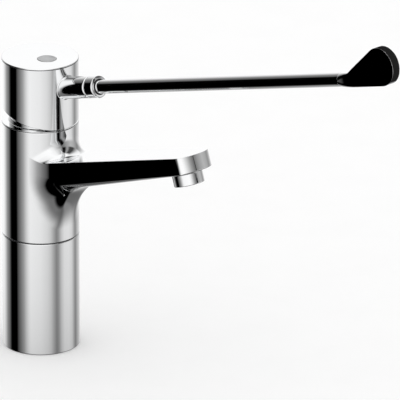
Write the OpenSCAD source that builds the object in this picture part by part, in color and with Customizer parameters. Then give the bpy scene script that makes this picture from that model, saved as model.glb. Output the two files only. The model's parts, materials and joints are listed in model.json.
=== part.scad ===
// Elbow lever mixer tap: deck-mounted single-lever mixer with a swivel spout,
// a ceramic-disc cartridge and a long elbow lever. Millimetres, +Z up.
// Origin: column axis at the deck. The spout and the lever point along +X.

/* [Column] */
// Outside diameter of the base, the spout body and the cap
column_d = 50; // [49:0.5:56]
// Height of the base column above the deck
base_h = 76.5; // [60:0.5:120]
// Wall of the base column
base_wall = 3.5; // [3:0.1:4]
// Seam between the base column and the spout body
seam_gap = 0.6; // [0.4:0.1:1.2]
// Height of the gasket let into the base
gasket_h = 2.4; // [1.5:0.1:4]

/* [Spout] */
// Height of the spout body on the column
body_h = 76.3; // [70:0.5:95]
// Wall of the spout body round the inner upright
body_wall = 4.5; // [4.2:0.1:5]
// Distance from the column axis to the aerator axis, on the spout's top
spout_reach = 132.8; // [110:0.2:180]
// Nose of the spout past the aerator axis
nose_past = 14.2; // [11:0.1:16]
// Rise of the spout's top, degrees
top_rise = 16.5; // [8:0.1:20]
// Extra slope of the underside, degrees
under_extra = 3.8; // [1:0.1:4.5]
// Drop from the body's top to the spout's top plane, at the column axis
spout_drop = 26.1; // [24:0.1:34]
// Thickness of the spout at its nose
nose_t = 11.6; // [10.5:0.1:16]
// Width of the spout, taken at the column axis
spout_root_w = 34.7; // [32:0.1:42]
// Width of the spout at its nose
nose_w = 27.4; // [24:0.1:32]
// Radius of the nose in plan
nose_r = 22; // [18:0.5:60]
// Fillet between the spout's top and the column
top_fillet = 11; // [4:0.5:14]
// Fillet between the underside and the column
under_fillet = 20; // [8:0.5:24]
// Fillet between the spout's sides and the column, in plan
side_fillet = 40; // [10:0.5:50]
// Radius of the waterway in the spout
waterway_r = 4.2; // [3:0.1:4.4]

/* [Aerator] */
// Outside diameter of the aerator
aerator_d = 20.2; // [19:0.1:23]
// How far the aerator stands below the spout
aerator_drop = 7.6; // [4:0.1:10]
// Radius of the screwed seat in the spout
aerator_seat_r = 8.6; // [8:0.1:9]
// Metal left above the seat
aerator_roof = 3.4; // [2.5:0.1:4]

/* [Handle cap] */
// Height of the cap's top above the neck ring's foot
cap_h = 43.5; // [42:0.1:55]
// Slope of the cap's lower edge, degrees
cap_cut = 15.05; // [10:0.05:16]
// Wall of the cap
cap_wall = 2.3; // [1.8:0.1:2.5]
// Thickness of the cap's top
cap_roof = 3.2; // [2.5:0.1:4]
// Diameter of the plain index disc on the cap
index_d = 12.6; // [8:0.1:14]
// Distance of the index disc from the column axis
index_x = 6.5; // [0:0.1:10]

/* [Lever] */
// Rise of the lever, degrees
lever_rise = 16.4; // [5:0.1:25]
// Depth of the lever axis below the cap's top, at the column axis
lever_drop = 22.3; // [20:0.1:24]
// Diameter of the stub and the ferrule
stub_d = 14.4; // [12:0.1:16]
// Distance along the lever to the stub's end
stub_end = 47.2; // [40:0.1:60]
// Length of the ferrule
ferrule_len = 10; // [6:0.1:16]
// Diameter of the lever rod
rod_d = 9.1; // [8:0.1:11]
// Distance along the lever to the end of the rod
rod_end = 289.5; // [180:0.5:340]
// Straight shank of the paddle before it widens
paddle_shank = 10; // [6:0.5:20]
// Distance from the rod's end to the centre of the paddle's round head
paddle_len = 39.8; // [34:0.1:60]
// Radius of the paddle's head
paddle_r = 12.3; // [10:0.1:18]
// Thickness of the paddle
paddle_t = 6; // [4:0.1:7.5]

/* [Mechanism] */
// Diameter of the cartridge
cartridge_d = 34.6; // [34:0.1:35]
// Height of the lever's pivot above the neck ring's foot
pivot_up = 10.3; // [10:0.1:10.8]
// Distance from the pivot to the ball of the stem
ball_arm = 9.3; // [8.8:0.1:9.6]
// Radius of the stem's ball
ball_r = 2.4; // [2:0.1:2.8]
// Width of the square stem
stem_w = 7; // [6:0.1:7.4]
// Radius of the pivot pin
pin_r = 1.5; // [1.2:0.1:1.8]
// Lift of the lever from closed to full flow, degrees
lift = 25; // [15:1:26]
// Swivel of the spout each way, degrees
swivel = 60; // [20:1:75]

/* [Inlets] */
// Thread-core radius of the fixing stud's hole
stud_r = 3.4; // [2.5:0.1:3.6]
// Depth of the fixing stud's hole
stud_depth = 20; // [12:0.5:40]
// Thread-core radius of each hose inlet
inlet_r = 4.5; // [4:0.1:4.8]
// Depth of each hose inlet's thread
inlet_depth = 12; // [8:0.5:20]

/* [Hidden] */
$fn = 96;

// Clearances: a running fit, a seated fit, a free gap, and a margin for cuts
run = 0.05;
seat = 0.1;
free = 0.3;
cut = 1;

// Column radii
edge = 0.5;
gasket_ledge = 2;
gasket_lap = 4.5;
upright_gap = 1;
flange_h = 10.5;
bush_wall = 1;
spigot_step = 0.6;
column_r = column_d / 2;
base_bore_r = column_r - base_wall;
gasket_r = base_bore_r + gasket_ledge;
gasket_bore_r = base_bore_r - gasket_lap;
upright_r = gasket_bore_r - upright_gap;
flange_r = gasket_r - seat;
bore_r = column_r - body_wall;
land_r = bore_r - bush_wall;
spigot_r = land_r - spigot_step;

// Heights on the column
rim_t = 0.4;
cap_edge_gap = 0.15;
body_z0 = base_h + seam_gap;
body_z1 = body_z0 + body_h;
rim_z0 = body_z1 + free;
rim_z = rim_z0 + rim_t;
pivot_z = rim_z0 + pivot_up;
cap_z1 = rim_z0 + cap_h;
cut_z = rim_z + cap_edge_gap + column_r * tan(cap_cut);

// Cartridge radii, from the outside in
housing_wall = 2;
shoulder_w = 1.6;
rotor_wall = 3.85;
cart_r = cartridge_d / 2;
cup_r = cart_r + free;
housing_bore_r = cart_r - housing_wall;
throat_r = housing_bore_r - free;
flange_bore_r = housing_bore_r - shoulder_w;
rotor_neck_r = housing_bore_r - rotor_wall;

// Cartridge stack, worked out downwards from the pivot
carrier_t = 4.2;
disc_t = 2.75;
fixed_t = 3.2;
cart_base_t = 4.5;
socket_over = 1;
ball_z = pivot_z - ball_arm;
carrier_z1 = ball_z + socket_over;
carrier_z0 = carrier_z1 - carrier_t;
disc_z0 = carrier_z0 - disc_t;
fixed_z1 = disc_z0 - run;
fixed_z0 = fixed_z1 - fixed_t;
cup_z = fixed_z0 - cart_base_t;

// Rotor and housing heights, worked out upwards from the carrier and the pivot
carrier_gap = 0.8;
rotor_flange_t = 2.8;
shoulder_gap = 0.2;
housing_step_drop = 8;
housing_top_drop = 1;
nut_drop = 2;
rotor_rise = 5;
flange_z0 = carrier_z1 + carrier_gap;
flange_z1 = flange_z0 + rotor_flange_t;
shoulder_z = flange_z1 + shoulder_gap;
housing_step_z = pivot_z - housing_step_drop;
housing_top_z = pivot_z - housing_top_drop;
nut_z1 = pivot_z - nut_drop;
rotor_top_z = pivot_z + rotor_rise;

// Discs and ports of the cartridge
disc_r = 12;
disc_x = -2;
port_r = 3.2;
outlet_r = 4;
outlet_x = -8.5;
inlet_x = 4.5;
inlet_y = 8.5;
port_seal_h = 1.2;
port_seal_w = 1.3;

// Guides of the disc carrier, and the rotor's slot that lets the stem tilt
guide_y = 9;
slot_side = 0.15;
slot_end = 0.45;
slot_front = ball_arm * sin(lift) + ball_r + slot_end;
slot_back = stem_w / 2 / cos(lift) + rotor_rise * tan(lift) + slot_end;

// Waterway and seals round the upright
recess_depth = 1.7;
recess_up = 23.9;
recess_under_cup = 10;
outlet_up = 10;
seal_h = 4;
groove_depth = 1.9;
seal_below = 6;
seal_above = 2;
recess_r = land_r - recess_depth;
recess_z0 = body_z0 + recess_up;
recess_z1 = cup_z - recess_under_cup;
outlet_z0 = recess_z0 + outlet_up;
groove_r = land_r - groove_depth;
seal_z_low = recess_z0 - seal_below;
seal_z_high = recess_z1 + seal_above;

// Slide bushes
bush_len = 10.9;
bush_inset = 0.6;
bush_over_seal = 5;
bush_flange_r = column_r - bush_inset;
upper_bush_z0 = seal_z_high + seal_h + bush_over_seal;

// Swivel stop at the back of the column
stop_r = 0.9;
stop_out = 1.6;
stop_up = 2.4;
stop_down = 6;
stop_margin = 0.6;
stop_at = bore_r + stop_out;

// Spout
spout_axis_z = body_z1 - spout_drop;
nose_x = spout_reach + nose_past;
spout_taper = (spout_root_w - nose_w) / 2 / nose_x;
under_rise = top_rise + under_extra;
mid_rise = top_rise + under_extra / 2;
slope_gain = tan(under_rise) - tan(top_rise);
root_share = 0.32;
root_x = column_r * root_share;
blend_x = column_r + under_fillet;
nose_blend = 30;

// Aerator: depths are measured down its axis from the spout's top
face_gap = 0.35;
insert_wall = 1.4;
insert_lip = 0.7;
screen_t = 0.9;
lip_t = 0.8;
washer_t = 1.4;
washer_w = 3.3;
under_lean = cos(mid_rise) + sin(mid_rise) * tan(under_rise);
aerator_r = aerator_d / 2;
aerator_face = (nose_t + nose_past * slope_gain) / under_lean + face_gap;
aerator_end = aerator_face + aerator_drop;
washer_z1 = aerator_roof + washer_t;
screen_z0 = aerator_end - lip_t - screen_t;
housing_thread_r = aerator_seat_r - seat;
insert_r = aerator_seat_r - insert_wall;

// Cap and lever
cap_edge = 0.8;
boss_r = 8;
boss_up = 12;
stem_under_top = 9.2;
grub_r = 2;
plug_r = 2.5;
index_t = 0.8;
rod_shoulder = 1.5;
spigot_len = 16;
cap_bore_r = column_r - cap_wall;
cap_roof_z = cap_z1 - cap_roof;
stub_r = stub_d / 2;
rod_r = rod_d / 2;
lever_z = cap_z1 - lever_drop;
rod_spigot_r = rod_r - rod_shoulder;
boss_z = pivot_z + boss_up;
stem_top = cap_z1 - stem_under_top;
grub_z = (boss_z + stem_top) / 2;

// Neck ring
neck_wall = 1.3;
neck_rise = 0.6;
neck_lip = 1.2;
nut_cover = 0.8;
cove_r = 2.6;
neck_r = spigot_r + neck_wall;
neck_top = pivot_z + neck_rise;

// Points of an arc of radius r round (x, y), from angle a0 to angle a1
function arc(x, y, r, a0, a1, steps) =
  [for (k = [0 : steps]) let (a = a0 + (a1 - a0) * k / steps) [x + r * cos(a), y + r * sin(a)]];

// Height of the spout's top plane and of its underside at x
function top_z(x) = spout_axis_z + x * tan(top_rise);
function under_z(x) = top_z(x) - nose_t - (nose_x - x) * slope_gain;

// Rise of a concave fillet of radius r, at distance d from the wall it meets
function fillet(d, r) = d >= r ? 0 : d <= 0 ? r : r - sqrt(r * r - (r - d) * (r - d));

// Half-width of the spout at x: a straight taper that flares into the column
function taper_w(x) = spout_root_w / 2 - spout_taper * x;
flare_x = let (y = taper_w(column_r) + side_fillet) sqrt(pow(column_r + side_fillet, 2) - y * y);
flare_y = taper_w(flare_x) + side_fillet;
flare_start = flare_x * column_r / (column_r + side_fillet);
function half_w(x) =
  x >= flare_x ? taper_w(x) :
  flare_y - sqrt(side_fillet * side_fillet - pow(flare_x - max(x, flare_start), 2));

// Share of the nose's curve that applies at x, and the curve's sag at y
function nose_share(x) = let (s = max(0, 1 - (nose_x - x) / nose_blend)) s * s * (3 - 2 * s);
function nose_sag(y) = nose_r - sqrt(nose_r * nose_r - y * y);

// Stations along the spout and steps across it
fillet_step = 2;
far_steps = 9;
across = 14;
stations = concat(
  [for (x = [root_x : fillet_step : blend_x]) x],
  [for (k = [1 : far_steps]) blend_x + (nose_x - blend_x) * k / far_steps]);
last = len(stations) - 1;

// Points of the spout's skin: in plan, on the top and on the underside
function plan_point(i, j) =
  let (x = stations[i], y = half_w(x) * (2 * j / across - 1))
  [x - nose_share(x) * nose_sag(y), y];
function top_point(i, j) =
  let (p = plan_point(i, j))
  [p.x, p.y, top_z(p.x) + fillet(norm(p) - column_r, top_fillet)];
function under_point(i, j) =
  let (p = plan_point(i, j),
       lean = (top_z(p.x) - under_z(p.x)) * sin(mid_rise) * cos(mid_rise) * nose_share(p.x),
       x = p.x + lean)
  [x, p.y, under_z(x) - fillet(norm(p) - column_r, under_fillet)];

// Index of a grid point: the top grid comes first, then the underside
function at(i, j) = i * (across + 1) + j;
function below(i, j) = (last + 1) * (across + 1) + at(i, j);
function quad(a, b, c, d) = [[a, b, c], [a, c, d]];

// Solid spout arm from inside the column to the nose, with its fillets
module spout_arm() {
  grid = [for (i = [0 : last]) for (j = [0 : across]) [i, j]];
  faces = [
    for (i = [0 : last - 1]) for (j = [0 : across - 1]) each concat(
      quad(at(i, j), at(i, j + 1), at(i + 1, j + 1), at(i + 1, j)),
      quad(below(i, j), below(i + 1, j), below(i + 1, j + 1), below(i, j + 1))),
    for (i = [0 : last - 1]) each concat(
      quad(at(i, 0), at(i + 1, 0), below(i + 1, 0), below(i, 0)),
      quad(at(i, across), below(i, across), below(i + 1, across), at(i + 1, across))),
    for (j = [0 : across - 1]) each concat(
      quad(at(0, j), below(0, j), below(0, j + 1), at(0, j + 1)),
      quad(at(last, j), at(last, j + 1), below(last, j + 1), below(last, j)))];
  polyhedron(concat([for (g = grid) top_point(g.x, g.y)],
    [for (g = grid) under_point(g.x, g.y)]), faces, convexity = 6);
}

// Plain cylinder from z0 to z1
module rod(r, z0, z1) {
  translate([0, 0, z0]) cylinder(r = r, h = z1 - z0);
}

// Tube from z0 to z1
module tube(r_out, r_in, z0, z1) {
  difference() {
    rod(r_out, z0, z1);
    rod(r_in, z0 - cut, z1 + cut);
  }
}

// Block of length l and width w, centred on the axis, from z0 to z1
module block(l, w, z0, z1) {
  translate([-l / 2, -w / 2, z0]) cube([l, w, z1 - z0]);
}

// Puts children on the aerator's axis, with +Z pointing down out of the spout
module on_aerator() {
  translate([spout_reach, 0, top_z(spout_reach)])
    rotate([0, 180 - mid_rise, 0]) children();
}

// Puts children on the lever's axis, with +Z along the lever
module on_lever() {
  translate([0, 0, lever_z]) rotate([0, 90 - lever_rise, 0]) children();
}

// Puts children on the lever's pivot axis, along Y
module on_pivot() {
  translate([0, 0, pivot_z]) rotate([90, 0, 0]) children();
}

// Puts children on the grub screw's axis, with +Z out of the back of the cap
module on_grub() {
  translate([0, 0, grub_z]) rotate([0, -90, 0]) children();
}

// Puts children at each of the two supply ports
module at_inlets() {
  for (side = [-1, 1]) translate([inlet_x, side * inlet_y, 0]) children();
}

// Puts children at the mixed-water port
module at_outlet() {
  translate([outlet_x, 0, 0]) children();
}

// Puts children at the swivel stop
module at_stop() {
  translate([-stop_at, 0, 0]) children();
}

module base_column() {
  color("silver") rotate_extrude() polygon([
    [gasket_r, 0], [column_r - edge, 0], [column_r, edge],
    [column_r, base_h - edge], [column_r - edge, base_h],
    [gasket_r, base_h], [gasket_r, base_h - flange_h],
    [base_bore_r, base_h - flange_h], [base_bore_r, gasket_h], [gasket_r, gasket_h]]);
}

module base_gasket() {
  color("dimgray") tube(gasket_r - seat, gasket_bore_r, 0, gasket_h);
}

module inner_upright() {
  color("goldenrod") difference() {
    union() {
      rod(upright_r, 0, base_h);
      rod(flange_r, base_h - flange_h, base_h);
      rod(land_r, base_h - cut, body_z1);
      rod(spigot_r, body_z1 - cut, nut_z1);
    }
    rod(cup_r, cup_z, nut_z1 + cut);
    tube(land_r + cut, recess_r, recess_z0, recess_z1);
    for (z = [seal_z_low, seal_z_high]) tube(land_r + cut, groove_r, z, z + seal_h);
    rod(stud_r, -cut, stud_depth);
    at_inlets() {
      rod(inlet_r, -cut, inlet_depth);
      rod(port_r, inlet_depth - cut, cup_z + cut);
    }
    at_outlet() {
      rod(outlet_r, outlet_z0, cup_z + cut);
      translate([0, 0, outlet_z0 + outlet_r]) rotate([0, -90, 0]) rod(outlet_r, 0, land_r);
    }
    at_stop() rod(stop_r + run, base_h - stop_down, base_h + cut);
  }
}

module swivel_stop_pin() {
  color("lightsteelblue") at_stop() rod(stop_r, base_h - stop_down, body_z0 + stop_up);
}

module lower_slide_bush() {
  color("whitesmoke") difference() {
    union() {
      rod(bush_flange_r, base_h, body_z0);
      rod(bore_r - run, base_h, body_z0 + bush_len);
    }
    rod(land_r + run, base_h - cut, body_z0 + bush_len + cut);
    at_stop() rod(stop_r + seat, base_h - cut, body_z0 + cut);
  }
}

module upper_slide_bush() {
  color("whitesmoke") difference() {
    union() {
      rod(bush_flange_r, body_z1, rim_z0);
      rod(bore_r - run, upper_bush_z0, rim_z0);
    }
    rod(land_r + run, upper_bush_z0 - cut, rim_z0 + cut);
  }
}

// Lip seal: a ring with a turned groove between its two lips
module lip_seal(z) {
  lip_w = 0.9;
  color("black") difference() {
    tube(bore_r - run, groove_r + seat, z + seat, z + seal_h - seat);
    tube(groove_r + 2 * lip_w, groove_r + lip_w, z + seal_h / 2, z + seal_h);
  }
}

module lower_lip_seal() {
  lip_seal(seal_z_low);
}

module upper_lip_seal() {
  lip_seal(seal_z_high);
}

module cartridge_seals() {
  color("black") {
    at_inlets() tube(port_r + port_seal_w, port_r + seat, cup_z, cup_z + port_seal_h);
    at_outlet() tube(outlet_r + port_seal_w, outlet_r + seat, cup_z, cup_z + port_seal_h);
  }
}

module cartridge_base() {
  recess_top = cup_z + port_seal_h;
  color("ivory") difference() {
    rod(cart_r, cup_z, fixed_z0);
    at_inlets() {
      rod(port_r, cup_z - cut, fixed_z0 + cut);
      rod(port_r + port_seal_w + seat, cup_z - cut, recess_top);
    }
    at_outlet() {
      rod(outlet_r, cup_z - cut, fixed_z0 + cut);
      rod(outlet_r + port_seal_w + seat, cup_z - cut, recess_top);
    }
  }
}

module fixed_disc() {
  color("white") difference() {
    rod(housing_bore_r - seat, fixed_z0, fixed_z1);
    at_inlets() rod(port_r, fixed_z0 - cut, fixed_z1 + cut);
    at_outlet() rod(outlet_r, fixed_z0 - cut, fixed_z1 + cut);
  }
}

module cartridge_housing() {
  step_t = 1.5;
  bearing_r = rotor_neck_r + run;
  color("ivory") rotate_extrude() polygon([
    [housing_bore_r, fixed_z0], [cart_r, fixed_z0], [cart_r, housing_step_z],
    [throat_r, housing_step_z], [throat_r, housing_top_z], [bearing_r, housing_top_z],
    [bearing_r, shoulder_z], [flange_bore_r, shoulder_z],
    [flange_bore_r, housing_step_z - step_t], [housing_bore_r, housing_step_z - step_t]]);
}

module retaining_nut() {
  slots = 4;
  slot_w = 4;
  slot_d = 2;
  color("goldenrod") difference() {
    tube(cup_r - seat, throat_r + seat, housing_step_z, nut_z1);
    for (k = [0 : slots - 1]) rotate(k * 360 / slots)
      translate([throat_r - cut, -slot_w / 2, nut_z1 - slot_d]) cube([cup_r, slot_w, slot_d + cut]);
  }
}

// Chrome collar under the cap, with a cove that runs out to the column's rim
module neck_ring() {
  rim_r = column_r - free;
  foot_r = spigot_r + run;
  cover_r = throat_r + nut_cover;
  color("silver") rotate_extrude() polygon(concat(
    [[foot_r, rim_z0], [rim_r, rim_z0], [rim_r, rim_z]],
    arc(neck_r + cove_r, rim_z + cove_r, cove_r, -90, -180, 8),
    [[neck_r, neck_top - edge], [neck_r - edge, neck_top], [cover_r, neck_top],
     [cover_r, neck_top - neck_lip], [foot_r, neck_top - neck_lip]]));
}

module spout_body() {
  stop_sweep = 2 * (swivel + asin(stop_r / stop_at) + stop_margin);
  water_z = (top_z(recess_r) + under_z(recess_r)) / 2;
  water_len = (spout_reach - recess_r) / cos(mid_rise);
  color("silver") difference() {
    resize([0, 0, 0]) union() {
      rod(column_r, body_z0, body_z1);
      spout_arm();
    }
    rod(bore_r, body_z0 - cut, body_z1 + cut);
    translate([recess_r, 0, water_z]) rotate([0, 90 - mid_rise, 0]) rod(waterway_r, 0, water_len);
    on_aerator() rod(aerator_seat_r, aerator_roof, aerator_end);
    translate([0, 0, body_z0 - cut]) rotate(180 - stop_sweep / 2)
      rotate_extrude(angle = stop_sweep) translate([stop_at - stop_r - seat, 0])
        square([2 * (stop_r + seat), cut + stop_up + seat]);
  }
}

module aerator_housing() {
  color("silver") on_aerator() difference() {
    union() {
      rod(housing_thread_r, washer_z1, aerator_face + cut);
      rotate_extrude() polygon([
        [0, aerator_face], [aerator_r - edge, aerator_face],
        [aerator_r, aerator_face + edge], [aerator_r, aerator_end - edge],
        [aerator_r - edge, aerator_end], [0, aerator_end]]);
    }
    rod(insert_r, aerator_roof, aerator_end - lip_t);
    rod(insert_r - insert_lip, aerator_roof, aerator_end + cut);
  }
}

module aerator_washer() {
  washer_r = aerator_seat_r - seat;
  color("black") on_aerator() tube(washer_r, washer_r - washer_w, aerator_roof, washer_z1);
}

module aerator_insert() {
  jets = 8;
  jet_r = 1;
  jet_inset = 2.9;
  color("ivory") on_aerator() difference() {
    rod(insert_r - seat, washer_z1, screen_z0);
    for (k = [0 : jets - 1]) rotate(k * 360 / jets)
      translate([insert_r - jet_inset, 0, 0]) rod(jet_r, 0, aerator_end);
    rod(jet_r, 0, aerator_end);
  }
}

module aerator_screen() {
  pitch = 2.4;
  hole = 1.8;
  rows = 2;
  color("gainsboro") on_aerator() difference() {
    rod(insert_r - seat, screen_z0, screen_z0 + screen_t);
    for (i = [-rows : rows]) for (j = [-rows : rows])
      if (norm([i, j]) * pitch + hole < insert_r)
        translate([i * pitch, j * pitch, 0]) block(hole, hole, screen_z0 - cut, aerator_end);
  }
}

// Rotor: a flanged neck with two lugs that guide the disc carrier
module cartridge_rotor() {
  lug_w = 2.2;
  lug_len = 13;
  lug_up = 0.5;
  lug_y = guide_y + seat + lug_w / 2;
  color("seagreen") difference() {
    union() {
      rod(flange_bore_r - free, flange_z0, flange_z1);
      rod(rotor_neck_r, flange_z0, rotor_top_z);
      for (side = [-1, 1]) translate([0, side * lug_y, 0])
        block(lug_len, lug_w, carrier_z0 + lug_up, flange_z0 + lug_up);
    }
    translate([(slot_front - slot_back) / 2, 0, 0])
      block(slot_front + slot_back, stem_w + 2 * slot_side, carrier_z1, rotor_top_z + cut);
    on_pivot() rod(pin_r + run, -rotor_neck_r - cut, rotor_neck_r + cut);
  }
}

module pivot_pin() {
  pin_inset = 1.4;
  half = rotor_neck_r - pin_inset;
  color("lightsteelblue") on_pivot() rod(pin_r, -half, half);
}

// Moving disc: a keyhole-shaped mixing chamber joins the ports from below
module moving_disc() {
  mixer_r = 6.5;
  mixer_front = 0.5;
  tail_r = 5.5;
  tail_back = 4;
  mixer_depth = 1.6;
  color("white") translate([disc_x, 0, 0]) difference() {
    rod(disc_r, disc_z0, carrier_z0);
    translate([mixer_front, 0, 0]) rod(mixer_r, disc_z0 - cut, disc_z0 + mixer_depth);
    translate([-tail_back, 0, 0]) rod(tail_r, disc_z0 - cut, disc_z0 + mixer_depth);
  }
}

module disc_carrier() {
  carrier_r = 11.2;
  socket_floor = 0.5;
  color("orange") difference() {
    intersection() {
      translate([disc_x, 0, 0]) rod(carrier_r, carrier_z0, carrier_z1);
      block(4 * carrier_r, 2 * guide_y, carrier_z0, carrier_z1);
    }
    rod(ball_r + seat, carrier_z0 + socket_floor, carrier_z1 + cut);
  }
}

module cartridge_stem() {
  ball_shoulder = 0.9;
  stem_drop = 4;
  stem_neck_r = ball_r - ball_shoulder;
  stem_z0 = pivot_z - stem_drop;
  color("goldenrod") difference() {
    union() {
      translate([0, 0, ball_z]) sphere(r = ball_r);
      rod(stem_neck_r, ball_z, stem_z0 + cut);
      block(stem_w, stem_w, stem_z0, stem_top);
    }
    on_pivot() rod(pin_r + run, -stem_w, stem_w);
  }
}

// Half-space under the cap's slanted lower edge
module cap_cut_block() {
  span = 4 * column_r;
  translate([0, 0, cut_z]) rotate([0, cap_cut, 0]) block(span, span, -span, 0);
}

// Cap: a slant-cut cup with the lever's stub, and a boss that holds the stem
module handle_cap() {
  socket_w = stem_w + 2 * seat;
  color("silver") difference() {
    union() {
      difference() {
        union() {
          rotate_extrude() polygon(concat(
            [[0, rim_z0], [column_r, rim_z0]],
            arc(column_r - cap_edge, cap_z1 - cap_edge, cap_edge, 0, 90, 3),
            [[0, cap_z1]]));
          on_lever() rod(stub_r, 0, stub_end);
        }
        rod(cap_bore_r, rim_z0 - cut, cap_roof_z);
        cap_cut_block();
      }
      rod(boss_r, boss_z, cap_roof_z + cut);
    }
    block(socket_w, socket_w, boss_z - cut, stem_top + seat);
    on_lever() rod(rod_spigot_r + run, stub_end - spigot_len - seat, stub_end + cut);
    translate([index_x, 0, 0]) rod(index_d / 2 + seat, cap_z1 - index_t, cap_z1 + cut);
    on_grub() {
      rod(grub_r + run, stem_w / 2, boss_r + cut);
      rod(plug_r + run, boss_r + cut, column_r + cut);
    }
  }
}

module index_disc() {
  color("gainsboro") translate([index_x, 0, 0]) rod(index_d / 2, cap_z1 - index_t, cap_z1);
}

module grub_screw() {
  key_r = 1.1;
  key_z = (stem_w / 2 + boss_r) / 2;
  color("dimgray") on_grub() difference() {
    rod(grub_r, stem_w / 2, boss_r);
    translate([0, 0, key_z]) cylinder(r = key_r, h = boss_r, $fn = 6);
  }
}

module screw_plug() {
  color("silver") on_grub() rod(plug_r, cap_bore_r, column_r - seat);
}

// Ferrule: a sleeve on the rod with a rounded outer end
module lever_ferrule() {
  end_land = 1;
  end_r = stub_r - rod_r - end_land;
  ferrule_end = stub_end + ferrule_len;
  color("silver") on_lever() rotate_extrude() polygon(concat(
    [[rod_r + run, stub_end], [stub_r - edge, stub_end], [stub_r, stub_end + edge]],
    arc(stub_r - end_r, ferrule_end - end_r, end_r, 0, 90, 6),
    [[rod_r + run, ferrule_end]]));
}

module lever_rod() {
  color("silver") on_lever() {
    rod(rod_r, stub_end, rod_end);
    rod(rod_spigot_r, stub_end - spigot_len, stub_end + cut);
    rod(rod_spigot_r, rod_end - cut, rod_end + paddle_shank);
  }
}

// Flat upright paddle: a round head that runs into the rod's end
module elbow_paddle() {
  shank_end = rod_end + paddle_shank;
  head_end = rod_end + paddle_len;
  head_up = paddle_r - rod_r;
  lean = 2 * atan(head_up / (head_end - shank_end));
  color("silver") on_lever() difference() {
    union() {
      rod(rod_r, rod_end, shank_end);
      translate([0, 0, shank_end]) sphere(r = rod_r);
      translate([-head_up, 0, head_end]) rotate([90, 0, 0]) rod(paddle_r, -paddle_t / 2, paddle_t / 2);
      rotate([90, 0, 0]) translate([0, 0, -paddle_t / 2]) linear_extrude(paddle_t) polygon([
        [rod_r, shank_end], [rod_r, head_end], [-head_up, head_end],
        [-head_up - paddle_r * cos(lean), head_end - paddle_r * sin(lean)],
        [-rod_r * cos(lean), shank_end - rod_r * sin(lean)]]);
    }
    rod(rod_spigot_r + run, rod_end - cut, shank_end + seat);
  }
}

base_column();
base_gasket();
inner_upright();
swivel_stop_pin();
lower_slide_bush();
upper_slide_bush();
lower_lip_seal();
upper_lip_seal();
cartridge_seals();
cartridge_base();
fixed_disc();
cartridge_housing();
retaining_nut();
neck_ring();
spout_body();
aerator_housing();
aerator_washer();
aerator_insert();
aerator_screen();
cartridge_rotor();
pivot_pin();
moving_disc();
disc_carrier();
cartridge_stem();
handle_cap();
index_disc();
grub_screw();
screw_plug();
lever_ferrule();
lever_rod();
elbow_paddle();
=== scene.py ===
"""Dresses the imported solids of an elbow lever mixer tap: smooth chrome skins over the
outer pieces, finishes for the inner ones, and a white studio. Lengths are in metres."""

import json
import math

import bmesh
import bpy
from bpy.props import FloatProperty, FloatVectorProperty, PointerProperty
from mathutils import Matrix, Vector


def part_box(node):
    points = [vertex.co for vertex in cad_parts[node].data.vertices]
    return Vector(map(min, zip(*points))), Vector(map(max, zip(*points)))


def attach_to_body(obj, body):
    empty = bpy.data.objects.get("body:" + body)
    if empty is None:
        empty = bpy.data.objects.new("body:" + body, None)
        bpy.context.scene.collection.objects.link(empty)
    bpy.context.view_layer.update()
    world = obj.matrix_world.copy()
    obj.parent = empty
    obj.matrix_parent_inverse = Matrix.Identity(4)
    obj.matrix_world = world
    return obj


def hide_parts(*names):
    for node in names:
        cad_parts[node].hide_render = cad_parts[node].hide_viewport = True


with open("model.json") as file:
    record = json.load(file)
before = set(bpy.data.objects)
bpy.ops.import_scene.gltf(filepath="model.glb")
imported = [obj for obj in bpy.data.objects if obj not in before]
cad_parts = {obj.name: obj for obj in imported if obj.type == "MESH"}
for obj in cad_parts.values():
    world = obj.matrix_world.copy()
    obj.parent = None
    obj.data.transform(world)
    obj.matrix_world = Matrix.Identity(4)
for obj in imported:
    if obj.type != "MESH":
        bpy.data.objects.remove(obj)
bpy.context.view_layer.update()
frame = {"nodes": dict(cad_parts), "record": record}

bl_info = {
    "name": "Elbow lever tap",
    "version": (1, 0, 0),
    "blender": (4, 5, 0),
    "location": "3D View > Sidebar > Tap",
    "description": "Dresses the solids of an elbow lever mixer tap in polished chrome",
    "category": "Object",
}

# What the frame says
BODY_OF = {
    node: body
    for body, nodes in frame["record"]["behaviour"]["bodies"].items()
    for node in nodes
}
SLOT_OF = {part["node"]: part["material_slot"] for part in frame["record"]["subparts"]}
BASE_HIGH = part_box("base_column")[1]
BODY_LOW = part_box("spout_body")[0]
NECK_LOW, NECK_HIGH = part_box("neck_ring")
CAP_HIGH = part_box("handle_cap")[1]
DISC_LOW, DISC_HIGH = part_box("index_disc")
DISC_CENTRE = (DISC_LOW + DISC_HIGH) / 2
DISC_RADIUS = (DISC_HIGH.x - DISC_LOW.x) / 2
PLUG_LOW, PLUG_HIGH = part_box("screw_plug")
PLUG_CENTRE = (PLUG_LOW + PLUG_HIGH) / 2
PLUG_RADIUS = (PLUG_HIGH.y - PLUG_LOW.y) / 2


# Properties

def length(name, description, default):
    """A size in metres, shown in the scene's unit."""
    return FloatProperty(
        name=name, description=description, default=default, unit="LENGTH", precision=5
    )


def angle(name, description, degrees):
    """An angle, written in degrees and kept in radians."""
    return FloatProperty(
        name=name, description=description, default=math.radians(degrees), subtype="ANGLE"
    )


def colour(name, description, value):
    """A linear colour."""
    return FloatVectorProperty(
        name=name, description=description, default=value, size=3, subtype="COLOR", min=0, max=1
    )


def share(name, description, value):
    """A share from 0 to 1."""
    return FloatProperty(
        name=name, description=description, default=value, subtype="FACTOR", min=0, max=1
    )


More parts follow.
